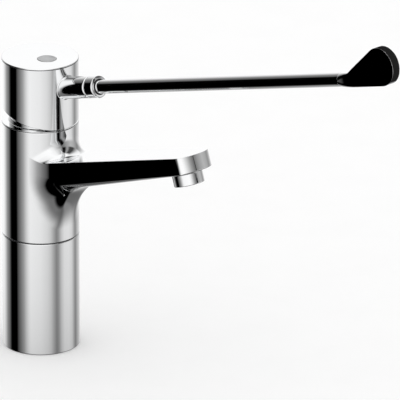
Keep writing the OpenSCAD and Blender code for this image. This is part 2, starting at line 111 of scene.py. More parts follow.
class ColumnSizes(bpy.types.PropertyGroup):
    """Sizes of the column: the base, the spout's body and the neck ring."""

    radius: length("Radius", "Outside radius of the column", BASE_HIGH.x)
    base_bore: length("Base bore", "Radius of the hollow in the base column", 0.0215)
    socket: length("Base sockets", "Radius of the sockets at both ends of the base", 0.0235)
    foot_socket: length("Foot socket", "Depth of the socket for the gasket", 0.0024)
    top_socket: length("Top socket", "Depth of the socket for the upright's flange", 0.0105)
    body_height: length("Body height", "Height of the spout's body", 0.0763)
    body_bore: length("Body bore", "Radius of the bore in the spout's body", 0.0205)
    edge: length("Edge", "Rounding of the column's edges", 0.0005)
    neck_radius: length("Neck radius", "Radius of the neck under the cap", 0.0202)
    neck_bore: length("Neck bore", "Radius of the neck ring's bore", 0.01895)
    neck_cover: length("Neck cover", "Radius of the hole in the neck ring's top", 0.016)
    neck_lip: length("Neck lip", "Thickness of the neck ring's top", 0.0012)
    rim: length("Rim", "Thickness of the neck ring's rim", 0.0004)
    cove: length("Cove", "Radius of the cove between the rim and the neck", 0.0006)


class SpoutSizes(bpy.types.PropertyGroup):
    """Sizes of the spout and its aerator."""

    reach: length("Reach", "Column axis to the aerator axis, on the spout's top", 0.1328)
    nose_past: length("Nose", "Nose of the spout past the aerator axis", 0.0142)
    nose_thickness: length("Nose thickness", "Thickness of the spout at its nose", 0.0116)
    nose_width: length("Nose width", "Width of the spout at its nose", 0.0274)
    nose_radius: length("Nose radius", "Radius of the nose in plan", 0.022)
    nose_blend: length("Nose blend", "Length over which the nose's curve fades in", 0.03)
    nose_corner: length("Nose corner", "Rounding of the nose's upright corners", 0.0016)
    root_width: length("Root width", "Width of the spout, taken at the column axis", 0.0347)
    drop: length("Drop", "Body's top down to the spout's top plane, at the column axis", 0.0261)
    top_rise: angle("Top rise", "Rise of the spout's top", 16.5)
    under_extra: angle("Under rise", "Extra rise of the spout's underside", 3.8)
    top_fillet: length("Top fillet", "Fillet between the spout's top and the column", 0.0113)
    top_climb: length("Top climb", "How far the top fillet climbs up the column", 0.0147)
    top_fade: share("Top fade", "How much the top fillet shrinks towards the sides", 0.91)
    root_fillet: length("Root fillet", "Fillet between the spout's sides and the column", 0.043)
    under_fillet: length("Under fillet", "Fillet between the underside and the column", 0.04)
    top_edge: length("Top edge", "Rounding of the spout's upper edges", 0.0003)
    under_edge: length("Under edge", "Rounding of the lower edges at the nose", 0.0007)
    root_edge: length("Root edge", "Rounding of the lower edges at the root", 0.0078)
    seat_radius: length("Seat radius", "Radius of the aerator's seat in the spout", 0.0086)
    seat_roof: length("Seat roof", "Metal left above the aerator's seat", 0.0034)
    aerator_radius: length("Aerator radius", "Outside radius of the aerator", 0.0101)
    aerator_bore: length("Aerator bore", "Radius of the bore for the aerator's screen", 0.0072)
    aerator_lip: length("Aerator lip", "Width of the lip that holds the screen", 0.0007)
    aerator_drop: length("Aerator drop", "How far the aerator stands out", 0.0076)
    aerator_gap: length("Aerator gap", "Gap between the spout and the aerator", 0.00035)
    screen_depth: length("Screen depth", "Depth of the screen inside the aerator", 0.0008)
    screen_cell: length("Screen cell", "Width of one cell of the screen", 0.0014)
    screen_thickness: length("Screen thickness", "Thickness of the screen", 0.0009)


class HandleSizes(bpy.types.PropertyGroup):
    """Sizes of the cap and the lever."""

    cap_bore: length("Cap bore", "Radius of the hollow in the cap", 0.0227)
    cap_roof: length("Cap roof", "Thickness of the cap's top", 0.0032)
    boss_radius: length("Boss radius", "Radius of the boss inside the cap", 0.008)
    boss_drop: length("Boss drop", "Boss's lower end below the cap's top", 0.0212)
    socket_radius: length("Socket radius", "Radius of the boss's socket for the stem", 0.0051)
    socket_drop: length("Socket drop", "Socket's end below the cap's top", 0.0091)
    plug_gap: length("Plug gap", "Gap round the screw plug", 0.00005)
    cap_edge: length("Cap edge", "Rounding of the cap's top edge", 0.0004)
    lid: length("Lid", "Thickness of the lid's rim on the cap", 0.0005)
    lid_gap: length("Lid gap", "Height of the groove under the lid", 0.0005)
    lid_depth: length("Lid depth", "Depth of the groove under the lid", 0.0008)
    cap_lip: length("Cap lip", "Rounding of the cap's slanted edge", 0.0003)
    cap_cut: angle("Cap cut", "Slope of the cap's lower edge", 15.05)
    cut_gap: length("Cut gap", "Gap between the cap's lowest edge and the neck ring", 0.00015)
    index_depth: length("Index depth", "Depth of the recess for the index disc", 0.0008)
    index_gap: length("Index gap", "Gap round the index disc", 0.0001)
    index_crown: length("Index crown", "How far the index disc's rim stands up", 0.00025)
    index_rim: length("Index rim", "Width of the index disc's rim", 0.0009)
    index_dish: length("Index dish", "Depth of the dish inside the index disc's rim", 0.00015)
    lever_drop: length("Lever drop", "Lever axis below the cap's top, at the column axis", 0.0223)
    lever_rise: angle("Lever rise", "Rise of the lever", 16.4)
    stub_radius: length("Stub radius", "Radius of the stub and the ferrule", 0.0072)
    stub_fillet: length("Stub fillet", "Fillet between the stub and the cap", 0.001)
    stub_end: length("Stub end", "Distance along the lever to the stub's end", 0.0499)
    joint_edge: length("Joint edge", "Rounding where the stub meets the ferrule", 0.0011)
    ferrule_end: length("Ferrule end", "Distance along the lever to the ferrule's end", 0.0584)
    ferrule_edge: length("Ferrule edge", "Rounding of the ferrule's outer end", 0.0005)
    dome: length("Dome", "Radius of the ferrule's domed end", 0.0034)
    recess_depth: length("Recess depth", "Depth of the recess in the ferrule's end", 0.0015)
    # The rod's seal is a black ring that paints the shadow in the ferrule's recess
    shade_ring_drop: length("Seal drop", "Face of the rod's seal below the ferrule's end", 0.0004)
    rod_radius: length("Rod radius", "Radius of the lever rod", 0.00455)
    rod_end: length("Rod end", "Distance along the lever to the rod's end", 0.2895)
    shank: length("Shank", "Shank of the paddle before it widens", 0.01)
    paddle_length: length("Paddle length", "Rod's end to the centre of the paddle's head", 0.0398)
    paddle_radius: length("Paddle radius", "Radius of the paddle's head", 0.0123)
    paddle_thickness: length("Paddle thickness", "Thickness of the paddle", 0.006)
    paddle_rim: length("Paddle rim", "Rounding of the paddle's rim", 0.00006)
    paddle_flat: length("Paddle flat", "Length over which the round shank turns flat", 0.015)
    paddle_crook: length("Paddle crook", "Radius of the hollow where the paddle widens", 0.006)
    seam_length: length("Seam length", "Length of the dip on each side of the paddle's seam", 0.003)
    seam_dip: length("Seam dip", "Depth of the dip at the paddle's seam", 0.00003)


class TapFinishes(bpy.types.PropertyGroup):
    """Colours and polish of the tap's finishes."""

    chrome: colour("Chrome", "Colour of the chrome plate", (0.93, 0.935, 0.94))
    chrome_polish: share("Chrome polish", "Roughness of the chrome plate", 0.03)
    index: colour("Index", "Colour of the turned index disc", (0.5, 0.505, 0.51))
    brass: colour("Brass", "Colour of the brass", (0.66, 0.45, 0.17))
    steel: colour("Steel", "Colour of the stainless steel", (0.56, 0.57, 0.58))
    rubber: colour("Rubber", "Colour of the seals", (0.02, 0.02, 0.021))
    bearing: colour("Bearing plastic", "Colour of the slide bushes", (0.03, 0.03, 0.032))
    cartridge: colour("Cartridge plastic", "Colour of the cartridge", (0.72, 0.7, 0.6))
    ceramic: colour("Ceramic", "Colour of the ceramic discs", (0.86, 0.86, 0.83))


class StudioLook(bpy.types.PropertyGroup):
    """Camera and light."""

    turn: angle("Camera turn", "Turn of the camera round the tap", 46.2523)
    height: angle("Camera height", "Elevation of the camera", 21.1493)
    distance: length("Camera distance", "Distance from the camera to its target", 8.3355)
    lens: FloatProperty(
        name="Lens", description="Focal length in millimetres", default=1161.6, unit="CAMERA"
    )
    aim_right: length("Aim right", "Target's distance to the camera's right", 0.102906)
    aim_up: length("Aim up", "Target's height above the deck", 0.097996)
    floor_size: length("Floor size", "Width of the floor", 30.0)
    floor_glow: share("Floor glow", "Light that the floor gives off by itself", 0.08)
    white: FloatProperty(name="White", description="Light of the studio's ceiling", default=1.06)
    card: share("Dark card", "Grey of the card that the lever's end looks into", 0.016)
    shade_depth: share("Shade depth", "How dim the floor looks at the foot, in reflections", 0.34)
    shade_reach: length("Shade reach", "How far from the foot the floor looks dim", 0.13)


# Shader maths

class Wire:
    """A shader socket that adds Math nodes when it is used in an expression."""

    def __init__(self, graph, socket):
        self.graph = graph
        self.socket = socket

    def __add__(self, other):
        return self.graph.math("ADD", self, other)

    def __sub__(self, other):
        return self.graph.math("SUBTRACT", self, other)

    def __rsub__(self, other):
        return self.graph.math("SUBTRACT", other, self)

    def __mul__(self, other):
        return self.graph.math("MULTIPLY", self, other)

    __radd__ = __add__
    __rmul__ = __mul__


class Graph:
    """Adds nodes to one material or to the world."""

    def __init__(self, owner):
        self.owner = owner
        owner.use_nodes = True
        self.tree = owner.node_tree
        self.tree.nodes.clear()

    def add(self, kind, output=0, settings=None, values=None):
        """Adds a node, applies its settings, feeds its sockets, and returns one output."""
        node = self.tree.nodes.new(kind)
        for name, setting in (settings or {}).items():
            if name == "stops":
                self.set_stops(node.color_ramp, setting)
            else:
                setattr(node, name, setting)
        for name, value in (values or {}).items():
            if isinstance(value, Wire):
                self.tree.links.new(value.socket, node.inputs[name])
            else:
                node.inputs[name].default_value = value
        return Wire(self, node.outputs[output]) if len(node.outputs) else None

    def math(self, operation, *terms):
        """Adds one Math node."""
        settings = {"operation": operation}
        return self.add("ShaderNodeMath", settings=settings, values=dict(enumerate(terms)))

    def set_stops(self, ramp, stops):
        """Gives a ramp its stops, as pairs of place and grey."""
        ramp.interpolation = "LINEAR"
        while len(ramp.elements) < len(stops):
            ramp.elements.new(1)
        for element, (place, value) in zip(ramp.elements, stops):
            element.position = place
            element.color = grey(value)

    def mix(self, amount, first, second):
        """Mixes two colours."""
        return self.add(
            "ShaderNodeMix", 2, {"data_type": "RGBA"}, {0: amount, 6: first, 7: second}
        )

    def vary(self, amount, tone, low, high):
        """Mixes a darker and a lighter form of a colour."""
        return self.mix(amount, shade(tone, low), shade(tone, high))

    def noise(self, place, scale, detail=2.0):
        """Noise from 0 to 1."""
        values = {"Vector": place, "Scale": scale, "Detail": detail}
        return self.add("ShaderNodeTexNoise", "Fac", values=values)

    def place(self):
        """Coordinates in metres that ride with the piece."""
        return self.add("ShaderNodeTexCoord", "Object")

    def distance(self, place, centre):
        """Distance of a place from a point."""
        settings = {"operation": "DISTANCE"}
        return self.add("ShaderNodeVectorMath", "Value", settings, {0: place, 1: centre})

    def bump(self, height, strength, depth):
        """A bumped normal."""
        values = {"Height": height, "Strength": strength, "Distance": depth}
        return self.add("ShaderNodeBump", values=values)

    def end(self, shader):
        """Ends a material in a shader and returns the material."""
        self.add("ShaderNodeOutputMaterial", values={"Surface": shader})
        return self.owner

    def surface(self, values):
        """Ends a material in one principled shader and returns the material."""
        return self.end(self.add("ShaderNodeBsdfPrincipled", values=values))


def grey(value):
    """A grey with alpha."""
    return (value, value, value, 1)


def shade(tone, amount):
    """A colour made lighter or darker, with alpha."""
    return (*(min(1.0, part * amount) for part in tone), 1)


# Finishes

def polished_chrome(graph, look):
    """Chrome plate: clear polish with faint buffing haze."""
    place = graph.place()
    haze = graph.noise(place, scale=55.0, detail=4.0)
    streaks = {"Vector": place, "Scale": (1400.0, 1400.0, 160.0)}
    buffing = graph.noise(graph.add("ShaderNodeMapping", values=streaks), scale=1.0)
    polish = look.chrome_polish
    graph.surface({
        "Base Color": graph.vary(haze, look.chrome, low=0.985, high=1.01),
        "Metallic": 1.0,
        "Roughness": polish * 0.6 + 0.5 * polish * (haze + buffing),
        "Normal": graph.bump(haze + 0.3 * buffing, strength=0.01, depth=0.0002),
    })


# Turning marks of the index disc, in radians per metre
INDEX_PITCH = 18000.0


def turned_index(graph, look):
    """Index disc: fine concentric turning marks."""
    place = graph.place()
    radius = graph.distance(place, (DISC_CENTRE.x, DISC_CENTRE.y, DISC_HIGH.z))
    rings = graph.math("SINE", radius * INDEX_PITCH)
    grain = graph.noise(place, scale=900.0, detail=3.0)
    graph.surface({
        "Base Color": graph.vary(grain, look.index, low=0.85, high=1.1),
        "Metallic": 1.0,
        "Roughness": 0.26 + 0.12 * grain,
        "Normal": graph.bump(rings + grain, strength=0.25, depth=0.00004),
    })


def turned_metal(graph, tone, rough, pitch):
    """Machined metal with tool marks along the column's axis."""
    place = graph.place()
    height = graph.add("ShaderNodeSeparateXYZ", "Z", values={0: place})
    grain = graph.noise(place, scale=700.0, detail=3.0)
    marks = graph.math("SINE", height * pitch + 2.0 * grain)
    graph.surface({
        "Base Color": graph.vary(grain, tone, low=0.8, high=1.1),
        "Metallic": 1.0,
        "Roughness": rough + 0.15 * grain,
        "Normal": graph.bump(marks + grain, strength=0.3, depth=0.00005),
    })


def moulded(graph, tone, rough, fine, depth):
    """Moulded rubber, plastic or ceramic with a fine skin."""
    place = graph.place()
    grain = graph.noise(place, scale=fine, detail=4.0)
    flow = graph.noise(place, scale=60.0)
    graph.surface({
        "Base Color": graph.vary(flow, tone, low=0.88, high=1.12),
        "Roughness": rough + 0.12 * grain,
        "Normal": graph.bump(grain, strength=0.3, depth=depth),
    })


FINISHES = {
    "chrome": polished_chrome,
    "index": turned_index,
    "brass": lambda graph, look: turned_metal(graph, look.brass, rough=0.24, pitch=9000.0),
    "steel": lambda graph, look: turned_metal(graph, look.steel, rough=0.28, pitch=14000.0),
    "rubber": lambda graph, look: moulded(
        graph, look.rubber, rough=0.62, fine=1500.0, depth=0.00006
    ),
    "bearing_plastic": lambda graph, look: moulded(
        graph, look.bearing, rough=0.4, fine=1800.0, depth=0.00003
    ),
    "cartridge_plastic": lambda graph, look: moulded(
        graph, look.cartridge, rough=0.42, fine=1100.0, depth=0.00004
    ),
    "ceramic": lambda graph, look: moulded(
        graph, look.ceramic, rough=0.1, fine=2600.0, depth=0.00001
    ),
}


def finish_of(slot):
    """The material of one of the record's slots, made once."""
    name = "tap_" + slot
    if name not in bpy.data.materials:
        graph = Graph(bpy.data.materials.new(name))
        FINISHES[slot](graph, bpy.context.scene.tap_finishes)
    return bpy.data.materials[name]


# Skins

# Steps round a turned piece, along a rounded edge and along the neck's cove
TURN_STEPS = 192
EDGE_STEPS = 4
COVE_STEPS = 12

# Points closer than the weld become one, and a point within the tiny distance of a form is on it
WELD = 2e-6
TINY = 1e-7

# Edges that turn more than this stay crisp
SHARP = math.radians(40)

# Distance of a guard from the end of a straight run, and the shortest run that gets guards
EDGE_GUARD = 0.0003
GUARDED_RUN = 0.0012


class Skin:
    """Grids of points that weld into one closed piece."""

    def __init__(self):
        self.mesh = bmesh.new()

    def grid(self, rows, closed=False):
        """Adds quads between rows of points; closed joins each row's end to its start."""
        rings = [[self.mesh.verts.new(point) for point in row] for row in rows]
        for lower, upper in zip(rings, rings[1:]):
            pairs = list(zip(lower, upper))
            if closed:
                pairs.append(pairs[0])
            for (a, b), (c, d) in zip(pairs, pairs[1:]):
                self.mesh.faces.new((a, c, d, b))

    def window(self, rows, low, high, first, last):
        """Adds a grid that is left open between two of its rows and two of its columns."""
        self.grid(rows[:low + 1])
        self.grid(rows[high:])
        for part in (slice(first + 1), slice(last, None)):
            self.grid([row[part] for row in rows[low:high + 1]])

    def fill(self, points):
        """Adds one flat face."""
        self.mesh.faces.new([self.mesh.verts.new(point) for point in points])

    def finish(self, name, true_normal=None):
        """Welds the grids and returns the piece, with exact normals where they are known."""
        bmesh.ops.remove_doubles(self.mesh, verts=self.mesh.verts, dist=WELD)
        stray = [edge for edge in self.mesh.edges if not edge.link_faces]
        bmesh.ops.delete(self.mesh, geom=stray, context="EDGES")
        stray = [vert for vert in self.mesh.verts if not vert.link_faces]
        bmesh.ops.delete(self.mesh, geom=stray, context="VERTS")
        bmesh.ops.recalc_face_normals(self.mesh, faces=self.mesh.faces)
        data = bpy.data.meshes.new(name)
        self.mesh.to_mesh(data)
        self.mesh.free()
        data.shade_smooth()
        data.set_sharp_from_angle(angle=SHARP)
        if true_normal:
            exact = {v.index: true_normal(v.co) for v in data.vertices}
            data.normals_split_custom_set([
                exact[loop.vertex_index] or corner.vector
                for loop, corner in zip(data.loops, data.corner_normals)
            ])
        piece = bpy.data.objects.new(name, data)
        bpy.context.scene.collection.objects.link(piece)
        return piece


def attach(skin, name, body, slot, true_normal=None):
    """Puts a skin on a body, in the finish of a slot."""
    piece = skin.finish(name, true_normal)
    piece.data.materials.append(finish_of(slot))
    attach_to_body(piece, body)
    return piece


def dress(skin, node, true_normal=None):
    """Puts a skin in the place of a node, on its body and in its finish."""
    piece = attach(skin, node + "_skin", BODY_OF[node], SLOT_OF[node], true_normal)
    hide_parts(node)


def steps_between(first, last, count):
    """Evenly spaced values from first to last."""
    return [first + (last - first) * k / count for k in range(count + 1)]


def between(first, last, shares):
    """Rows of points between two rows, each at a share of the way."""
    return [[a.lerp(b, part) for a, b in zip(first, last)] for part in shares]


def border_of(rows):
    """The places round the edge of a grid, in order."""
    return (
        rows[0][:-1]
        + [row[-1] for row in rows[:-1]]
        + rows[-1][:0:-1]
        + [row[0] for row in rows[:0:-1]]
    )


def quarter_round(distance, reach, height):
    """Height of a quarter oval at a distance from the line where it stands upright."""
    left = min(1.0, max(0.0, 1 - distance / reach))
    return height * (1 - math.sqrt(1 - left ** 2))


def arc(across, along, radius, start, end, steps=EDGE_STEPS):
    """Points of an arc round (across, along), with its angles in degrees."""
    turns = [math.radians(turn) for turn in steps_between(start, end, steps)]
    return [(across + radius * math.cos(t), along + radius * math.sin(t)) for t in turns]


def spot(radius, turn, height):
    """Point at a radius, a turn and a height."""
    return Vector((radius * math.cos(turn), radius * math.sin(turn), height))


def round_points(radius, turns, height):
    """Points on a circle round the column's axis; height is a number or one per turn."""
    heights = height if isinstance(height, list) else [height] * len(turns)
    return [spot(radius, t, h) for t, h in zip(turns, heights)]


def lathe(profile, place=Matrix.Identity(4), steps=TURN_STEPS):
    """Turns a closed profile of (radius, height) round an axis."""
    skin = Skin()
    turns = [2 * math.pi * k / steps for k in range(steps)]
    rows = [[place @ spot(r, t, h) for t in turns] for r, h in profile + profile[:1]]
    skin.grid(rows, closed=True)
    return skin


def guarded(profile):
    """A profile with a point close to each end of its long straight runs, so that the
    shading of a rounded edge stays at the edge."""
    result = []
    for (r0, h0), (r1, h1) in zip(profile, profile[1:] + profile[:1]):
        run = math.hypot(r1 - r0, h1 - h0)
        result.append((r0, h0))
        if run > GUARDED_RUN:
            for part in (EDGE_GUARD / run, 1 - EDGE_GUARD / run):
                result.append((r0 + (r1 - r0) * part, h0 + (h1 - h0) * part))
    return result


def washer(inner, outer, low, high, place=Matrix.Identity(4)):
    """A flat ring."""
    return lathe([(inner, low), (outer, low), (outer, high), (inner, high)], place)


# Column pieces

class TAP_OT_base(bpy.types.Operator):
    """Turns the base column"""

    bl_idname = "tap.base"
    bl_label = "Base column"

    def execute(self, context):
        size = context.scene.tap_column
        r, e, top = size.radius, size.edge, BASE_HIGH.z
        bore, socket, foot = size.base_bore, size.socket, size.foot_socket
        ledge = top - size.top_socket
        profile = [(socket, 0.0)]
        profile += arc(r - e, e, e, -90, 0) + arc(r - e, top - e, e, 0, 90)
        profile += [(socket, top), (socket, ledge), (bore, ledge), (bore, foot), (socket, foot)]
        dress(lathe(guarded(profile)), "base_column")
        return {"FINISHED"}


class TAP_OT_neck(bpy.types.Operator):
    """Turns the neck ring with its cove"""

    bl_idname = "tap.neck"
    bl_label = "Neck ring"

    def execute(self, context):
        size = context.scene.tap_column
        low, top, rim = NECK_LOW.z, NECK_HIGH.z, NECK_HIGH.x
        neck, cove, e = size.neck_radius, size.cove, size.edge
        ledge = low + size.rim
        under = top - size.neck_lip
        profile = [(size.neck_bore, low), (rim, low), (rim, ledge)]
        profile += arc(neck + cove, ledge + cove, cove, -90, -180, COVE_STEPS)
        profile += arc(neck - e, top - e, e, 0, 90)
        profile += [(size.neck_cover, top), (size.neck_cover, under), (size.neck_bore, under)]
        dress(lathe(guarded(profile)), "neck_ring")
        return {"FINISHED"}


# Spout

# Lines of a rounded edge as shares of its radius, with a last one just inside the edge
EDGE_INSETS = [1 - math.cos(math.radians(a)) for a in range(0, 91, 6)] + [1.7]
INSET_GUARD = 0.001

# Lines along the spout, as a side or a share of the half-width, and an inset
INNER_SHARES = [k / 10 for k in range(-9, 10)]
SPOUT_LINES = (
    [(-1, inset) for inset in EDGE_INSETS]
    + [(part, EDGE_INSETS[-1]) for part in INNER_SHARES]
    + [(1, inset) for inset in reversed(EDGE_INSETS)]
)

# Shares of the way down the spout's walls, and from the arm to the column's ends
WALL_SHARES = [0, 0.02, 0.06, 0.12, 0.2, 0.3, 0.4, 0.5, 0.6, 0.7, 0.8, 0.88, 0.94, 0.98, 1]
COLUMN_SHARES = (0, 0.1, 0.3, 0.6, 1)

# Steps along the root's fillet, behind the arm, along the arm and round the aerator's seat
ROOT_STEPS = 20
BACK_STEPS = 120
FAR_STEPS = 40
SEAT_STEPS = 5

# How far before the seat its ring of faces starts, in seat radii
SEAT_MARGIN = 1.1

# Rounds of the two searches, and the step that finds the direction of a line
FLARE_ROUNDS = 20
HALVINGS = 60
NUDGE = 1e-4

# The hole's share of a cell of the screen, and the room that a cell needs inside its rim
CELL_HOLE = 0.82
CELL_ROOM = 0.55


def inset_of(part, edge):
    """Distance from the outline to a line of a rounded edge."""
    return min(part, 1) * edge + max(part - 1, 0) * min(edge, INSET_GUARD)


def last_place(low, high, holds):
    """The last place between low and high where a test holds."""
    for _ in range(HALVINGS):
        middle = (low + high) / 2
        if holds(middle):
            low = middle
        else:
            high = middle
    return low


class SpoutShape:
    """The spout's top, underside and plan outline, worked out from its sizes."""

    def __init__(self, column, size):
        self.r = column.radius
        self.size = size
        self.low = BODY_LOW.z
        self.high = BODY_LOW.z + column.body_height
        self.axis_z = self.high - size.drop
        self.nose_x = size.reach + size.nose_past
        self.taper = (size.root_width - size.nose_width) / 2 / self.nose_x
        self.under_rise = size.top_rise + size.under_extra
        self.mid_rise = size.top_rise + size.under_extra / 2
        self.gain = math.tan(self.under_rise) - math.tan(size.top_rise)
        lean = math.atan(self.taper)
        reach = self.r + size.root_fillet
        self.flare_x = self.r
        for _ in range(FLARE_ROUNDS):
            self.flare_y = self.straight_w(self.flare_x) + size.root_fillet / math.cos(lean)
            self.flare_x = math.sqrt(reach ** 2 - self.flare_y ** 2)
        self.flare_start = self.flare_x * self.r / reach
        self.flare_end = self.flare_x - size.root_fillet * math.sin(lean)

    def top_z(self, x):
        """Height of the top plane."""
        return self.axis_z + x * math.tan(self.size.top_rise)

    def under_z(self, x):
        """Height of the underside."""
        return self.top_z(x) - self.size.nose_thickness - (self.nose_x - x) * self.gain

    def straight_w(self, x):
        """Half-width of the tapered sides."""
        return self.size.root_width / 2 - self.taper * x

    def half_w(self, x):
        """Half-width of the outline, which flares into the column."""
        if x >= self.flare_end:
            return self.straight_w(x)
        back = self.flare_x - max(x, self.flare_start)
        return self.flare_y - math.sqrt(self.size.root_fillet ** 2 - back ** 2)

    def nose_share(self, x):
        """Share of the nose's curve at x."""
        s = max(0.0, 1 - (self.nose_x - x) / self.size.nose_blend)
        return s * s * (3 - 2 * s)

    def nose_sag(self, y):
        """How far the nose's curve falls back at y."""
        return self.size.nose_radius - math.sqrt(self.size.nose_radius ** 2 - y * y)

    def under_edge(self, x):
        """Rounding of the lower edges, which grows from the nose to the root."""
        part = min(1.0, (self.nose_x - x) / (self.nose_x - self.flare_end))
        return self.size.under_edge + (self.size.root_edge - self.size.under_edge) * part

    def plan(self, line, x, edge, width):
        """Plan point on a line along the spout, and its inset from the outline."""
        side, part = line
        y = side * (width - inset_of(part, edge))
        side_gap = width - abs(y)
        nose_gap = self.nose_x - x
        rim_gap = min(side_gap, nose_gap)
        corner = self.size.nose_corner
        if side_gap < corner and nose_gap < corner:
            u = 1 - nose_gap / corner
            v = 1 - side_gap / corner
            x = self.nose_x - corner * (1 - u * math.sqrt(1 - v * v / 2))
            y = math.copysign(width - corner * (1 - v * math.sqrt(1 - u * u / 2)), y)
        return Vector((x - self.nose_share(x) * self.nose_sag(y), y)), rim_gap

    def top_point(self, line, x):
        """Point on the top skin."""
        edge = self.size.top_edge
        width = self.half_w(x)
        p, inset = self.plan(line, x, edge, width)
        spread = min(1.0, abs(p.y) / width)
        fade = math.sqrt(1 - (self.size.top_fade * spread) ** 2)
        reach, climb = self.size.top_fillet * fade, self.size.top_climb * fade
        rise = quarter_round(p.length - self.r, reach, climb)
        return Vector((p.x, p.y, self.top_z(p.x) + rise - quarter_round(inset, edge, edge)))

    def under_point(self, line, x):
        """Point on the underside."""
        edge = self.under_edge(x)
        p, inset = self.plan(line, x, edge, self.straight_w(x))
        thickness = self.top_z(p.x) - self.under_z(p.x)
        lean = math.sin(2 * self.mid_rise) / 2 * thickness * self.nose_share(p.x)
        z = self.under_z(p.x + lean) + quarter_round(inset, edge, edge)
        return Vector((p.x + lean, p.y, z))

    def ball(self, line, x):
        """Touch point, centre and radius of a ball that rolls in the root's fillet and touches
        a line of the underside at x."""
        side, part = line
        touch = self.under_point(line, x)
        along = self.under_point(line, x + NUDGE) - self.under_point(line, x - NUDGE)
        upright = max(0.0, 1 - part)
        level = math.sqrt(1 - upright ** 2)
        out = along.cross(Vector((0, math.copysign(level, side), upright))).normalized()
        if out.dot(Vector((0, math.copysign(upright, side), -level))) < 0:
            out.negate()
        beside, below = self.size.root_fillet, self.size.under_fillet
        radius = beside + (below - beside) * level ** 2
        return touch, touch + out * radius, radius

    def root_arc(self, line):
        """Points of the fillet from the column to a line of the underside, and where it ends."""
        def cuts_in(x):
            """Whether the ball at x cuts into the column."""
            _, centre, radius = self.ball(line, x)
            return math.hypot(centre.x, centre.y) < self.r + radius

        x = last_place(self.flare_start, self.size.reach, cuts_in)
        touch, centre, radius = self.ball(line, x)
        squeeze = self.r / math.hypot(centre.x, centre.y)
        foot = Vector((centre.x * squeeze, centre.y * squeeze, centre.z))
        start, end = (foot - centre).normalized(), (touch - centre).normalized()
        turns = [start.slerp(end, part) for part in steps_between(0, 1, ROOT_STEPS)]
        return [foot] + [centre + turn * radius for turn in turns[1:]], x

    def aerator_place(self):
        """The aerator's axis: local Z runs down it from the spout's top."""
        place = Matrix.Translation((self.size.reach, 0, self.top_z(self.size.reach)))
        return place @ Matrix.Rotation(math.pi - self.mid_rise, 4, "Y")

    def aerator_depth(self):
        """Distance down the aerator's axis to the underside."""
        lean = math.cos(self.mid_rise) + math.sin(self.mid_rise) * math.tan(self.under_rise)
        return (self.size.nose_thickness + self.size.nose_past * self.gain) / lean

    def x_at(self, line, distance):
        """Where a line of the top is at a distance from the column."""
        side, part = line
        inset = inset_of(part, self.size.top_edge)
        return last_place(
            self.flare_start, self.nose_x,
            lambda x: math.hypot(x, side * (self.half_w(x) - inset)) < self.r + distance,
        )

    def stations(self, start, edge):
        """Places along a line from its root to the nose, close together at the nose."""
        insets = [inset_of(part, edge) for part in reversed(EDGE_INSETS)]
        places = steps_between(start, self.nose_x - insets[0], FAR_STEPS)
        return places + [self.nose_x - inset for inset in insets[1:]]

    def under_line(self, line):
        """A line of the underside from the column to the nose."""
        points, end = self.root_arc(line)
        places = self.stations(end, self.under_edge(self.nose_x))
        return points + [self.under_point(line, x) for x in places[1:]]

    def top_line(self, line, distances):
        """A line of the top from the column to the nose, with its first points at distances
        from the column."""
        near = [self.x_at(line, distance) for distance in distances]
        places = near + self.stations(near[-1], self.size.top_edge)[1:]
        return [self.top_point(line, x) for x in places]


def seat_skin(skin, shape, under):
    """The underside round the aerator's seat, and the seat."""
    place, size = shape.aerator_place(), shape.size
    down = (place.to_3x3() @ Vector((0, 0, 1))).normalized()
    start = place.translation
    centre = start + down * shape.aerator_depth()
    first, last = len(EDGE_INSETS), len(SPOUT_LINES) - len(EDGE_INSETS) - 1
    near = centre.x - SEAT_MARGIN * size.seat_radius
    begin = max(i for i, point in enumerate(under[first]) if point.x < near)
    end = len(under[first]) - len(EDGE_INSETS)
    skin.window(under, first, last, begin, end)
    border = border_of([line[begin:end + 1] for line in under[first:last + 1]])
    rim = []
    for point in border:
        out = point - centre
        rim.append(centre + out * (size.seat_radius / (out - down * out.dot(down)).length))
    rings = between(border, rim, steps_between(0, 1, SEAT_STEPS))
    rings.append([point + down * (size.seat_roof - (point - start).dot(down)) for point in rim])
    skin.grid(rings, closed=True)
    skin.fill(rings[-1])


def body_skin(shape, column):
    """The spout's body and arm as one welded skin."""
    skin = Skin()
    r, e = shape.r, column.edge
    under = [shape.under_line(line) for line in SPOUT_LINES]
    distances = [math.hypot(p.x, p.y) - r for p in under[0][:ROOT_STEPS + 1]]
    top = [shape.top_line(line, distances) for line in SPOUT_LINES]
    skin.grid(top)
    seat_skin(skin, shape, under)
    for line in (0, -1):
        skin.grid(between(top[line], under[line], WALL_SHARES))
    upper, lower = [[line[-1] for line in lines] for lines in (top, under)]
    skin.grid(between(upper, lower, WALL_SHARES))

    # The column round the arm: above it, below it and behind it
    def behind(part):
        """Turns and heights of a row behind the arm, from its top to its underside."""
        first, last = [top[line][0].lerp(under[line][0], part) for line in (-1, 0)]
        turns = [math.atan2(first.y, first.x), math.atan2(last.y, last.x) + 2 * math.pi]
        return steps_between(*turns, BACK_STEPS), steps_between(first.z, last.z, BACK_STEPS)

    rings = []
    for lines, rim, inward, row in ((top, shape.high, 1, 0), (under, shape.low, -1, 1)):
        turns, starts = [values[1:-1] for values in behind(row)]
        turns = [math.atan2(line[0].y, line[0].x) for line in lines] + turns
        starts = [line[0].z for line in lines] + starts
        straight = rim - inward * (e + EDGE_GUARD)
        rows = [
            round_points(r, turns, [z + (straight - z) * part for z in starts])
            for part in COLUMN_SHARES
        ]
        for across, along in arc(r - e, 0, e, 0, 90):
            rows.append(round_points(across, turns, rim - inward * (e - along)))
        for radius in (r - e - EDGE_GUARD, column.body_bore):
            rows.append(round_points(radius, turns, rim))
        skin.grid(rows, closed=True)
        rings.append(rows[-1])
    skin.grid(rings, closed=True)
    skin.grid([round_points(r, *behind(part)) for part in WALL_SHARES])
    return skin


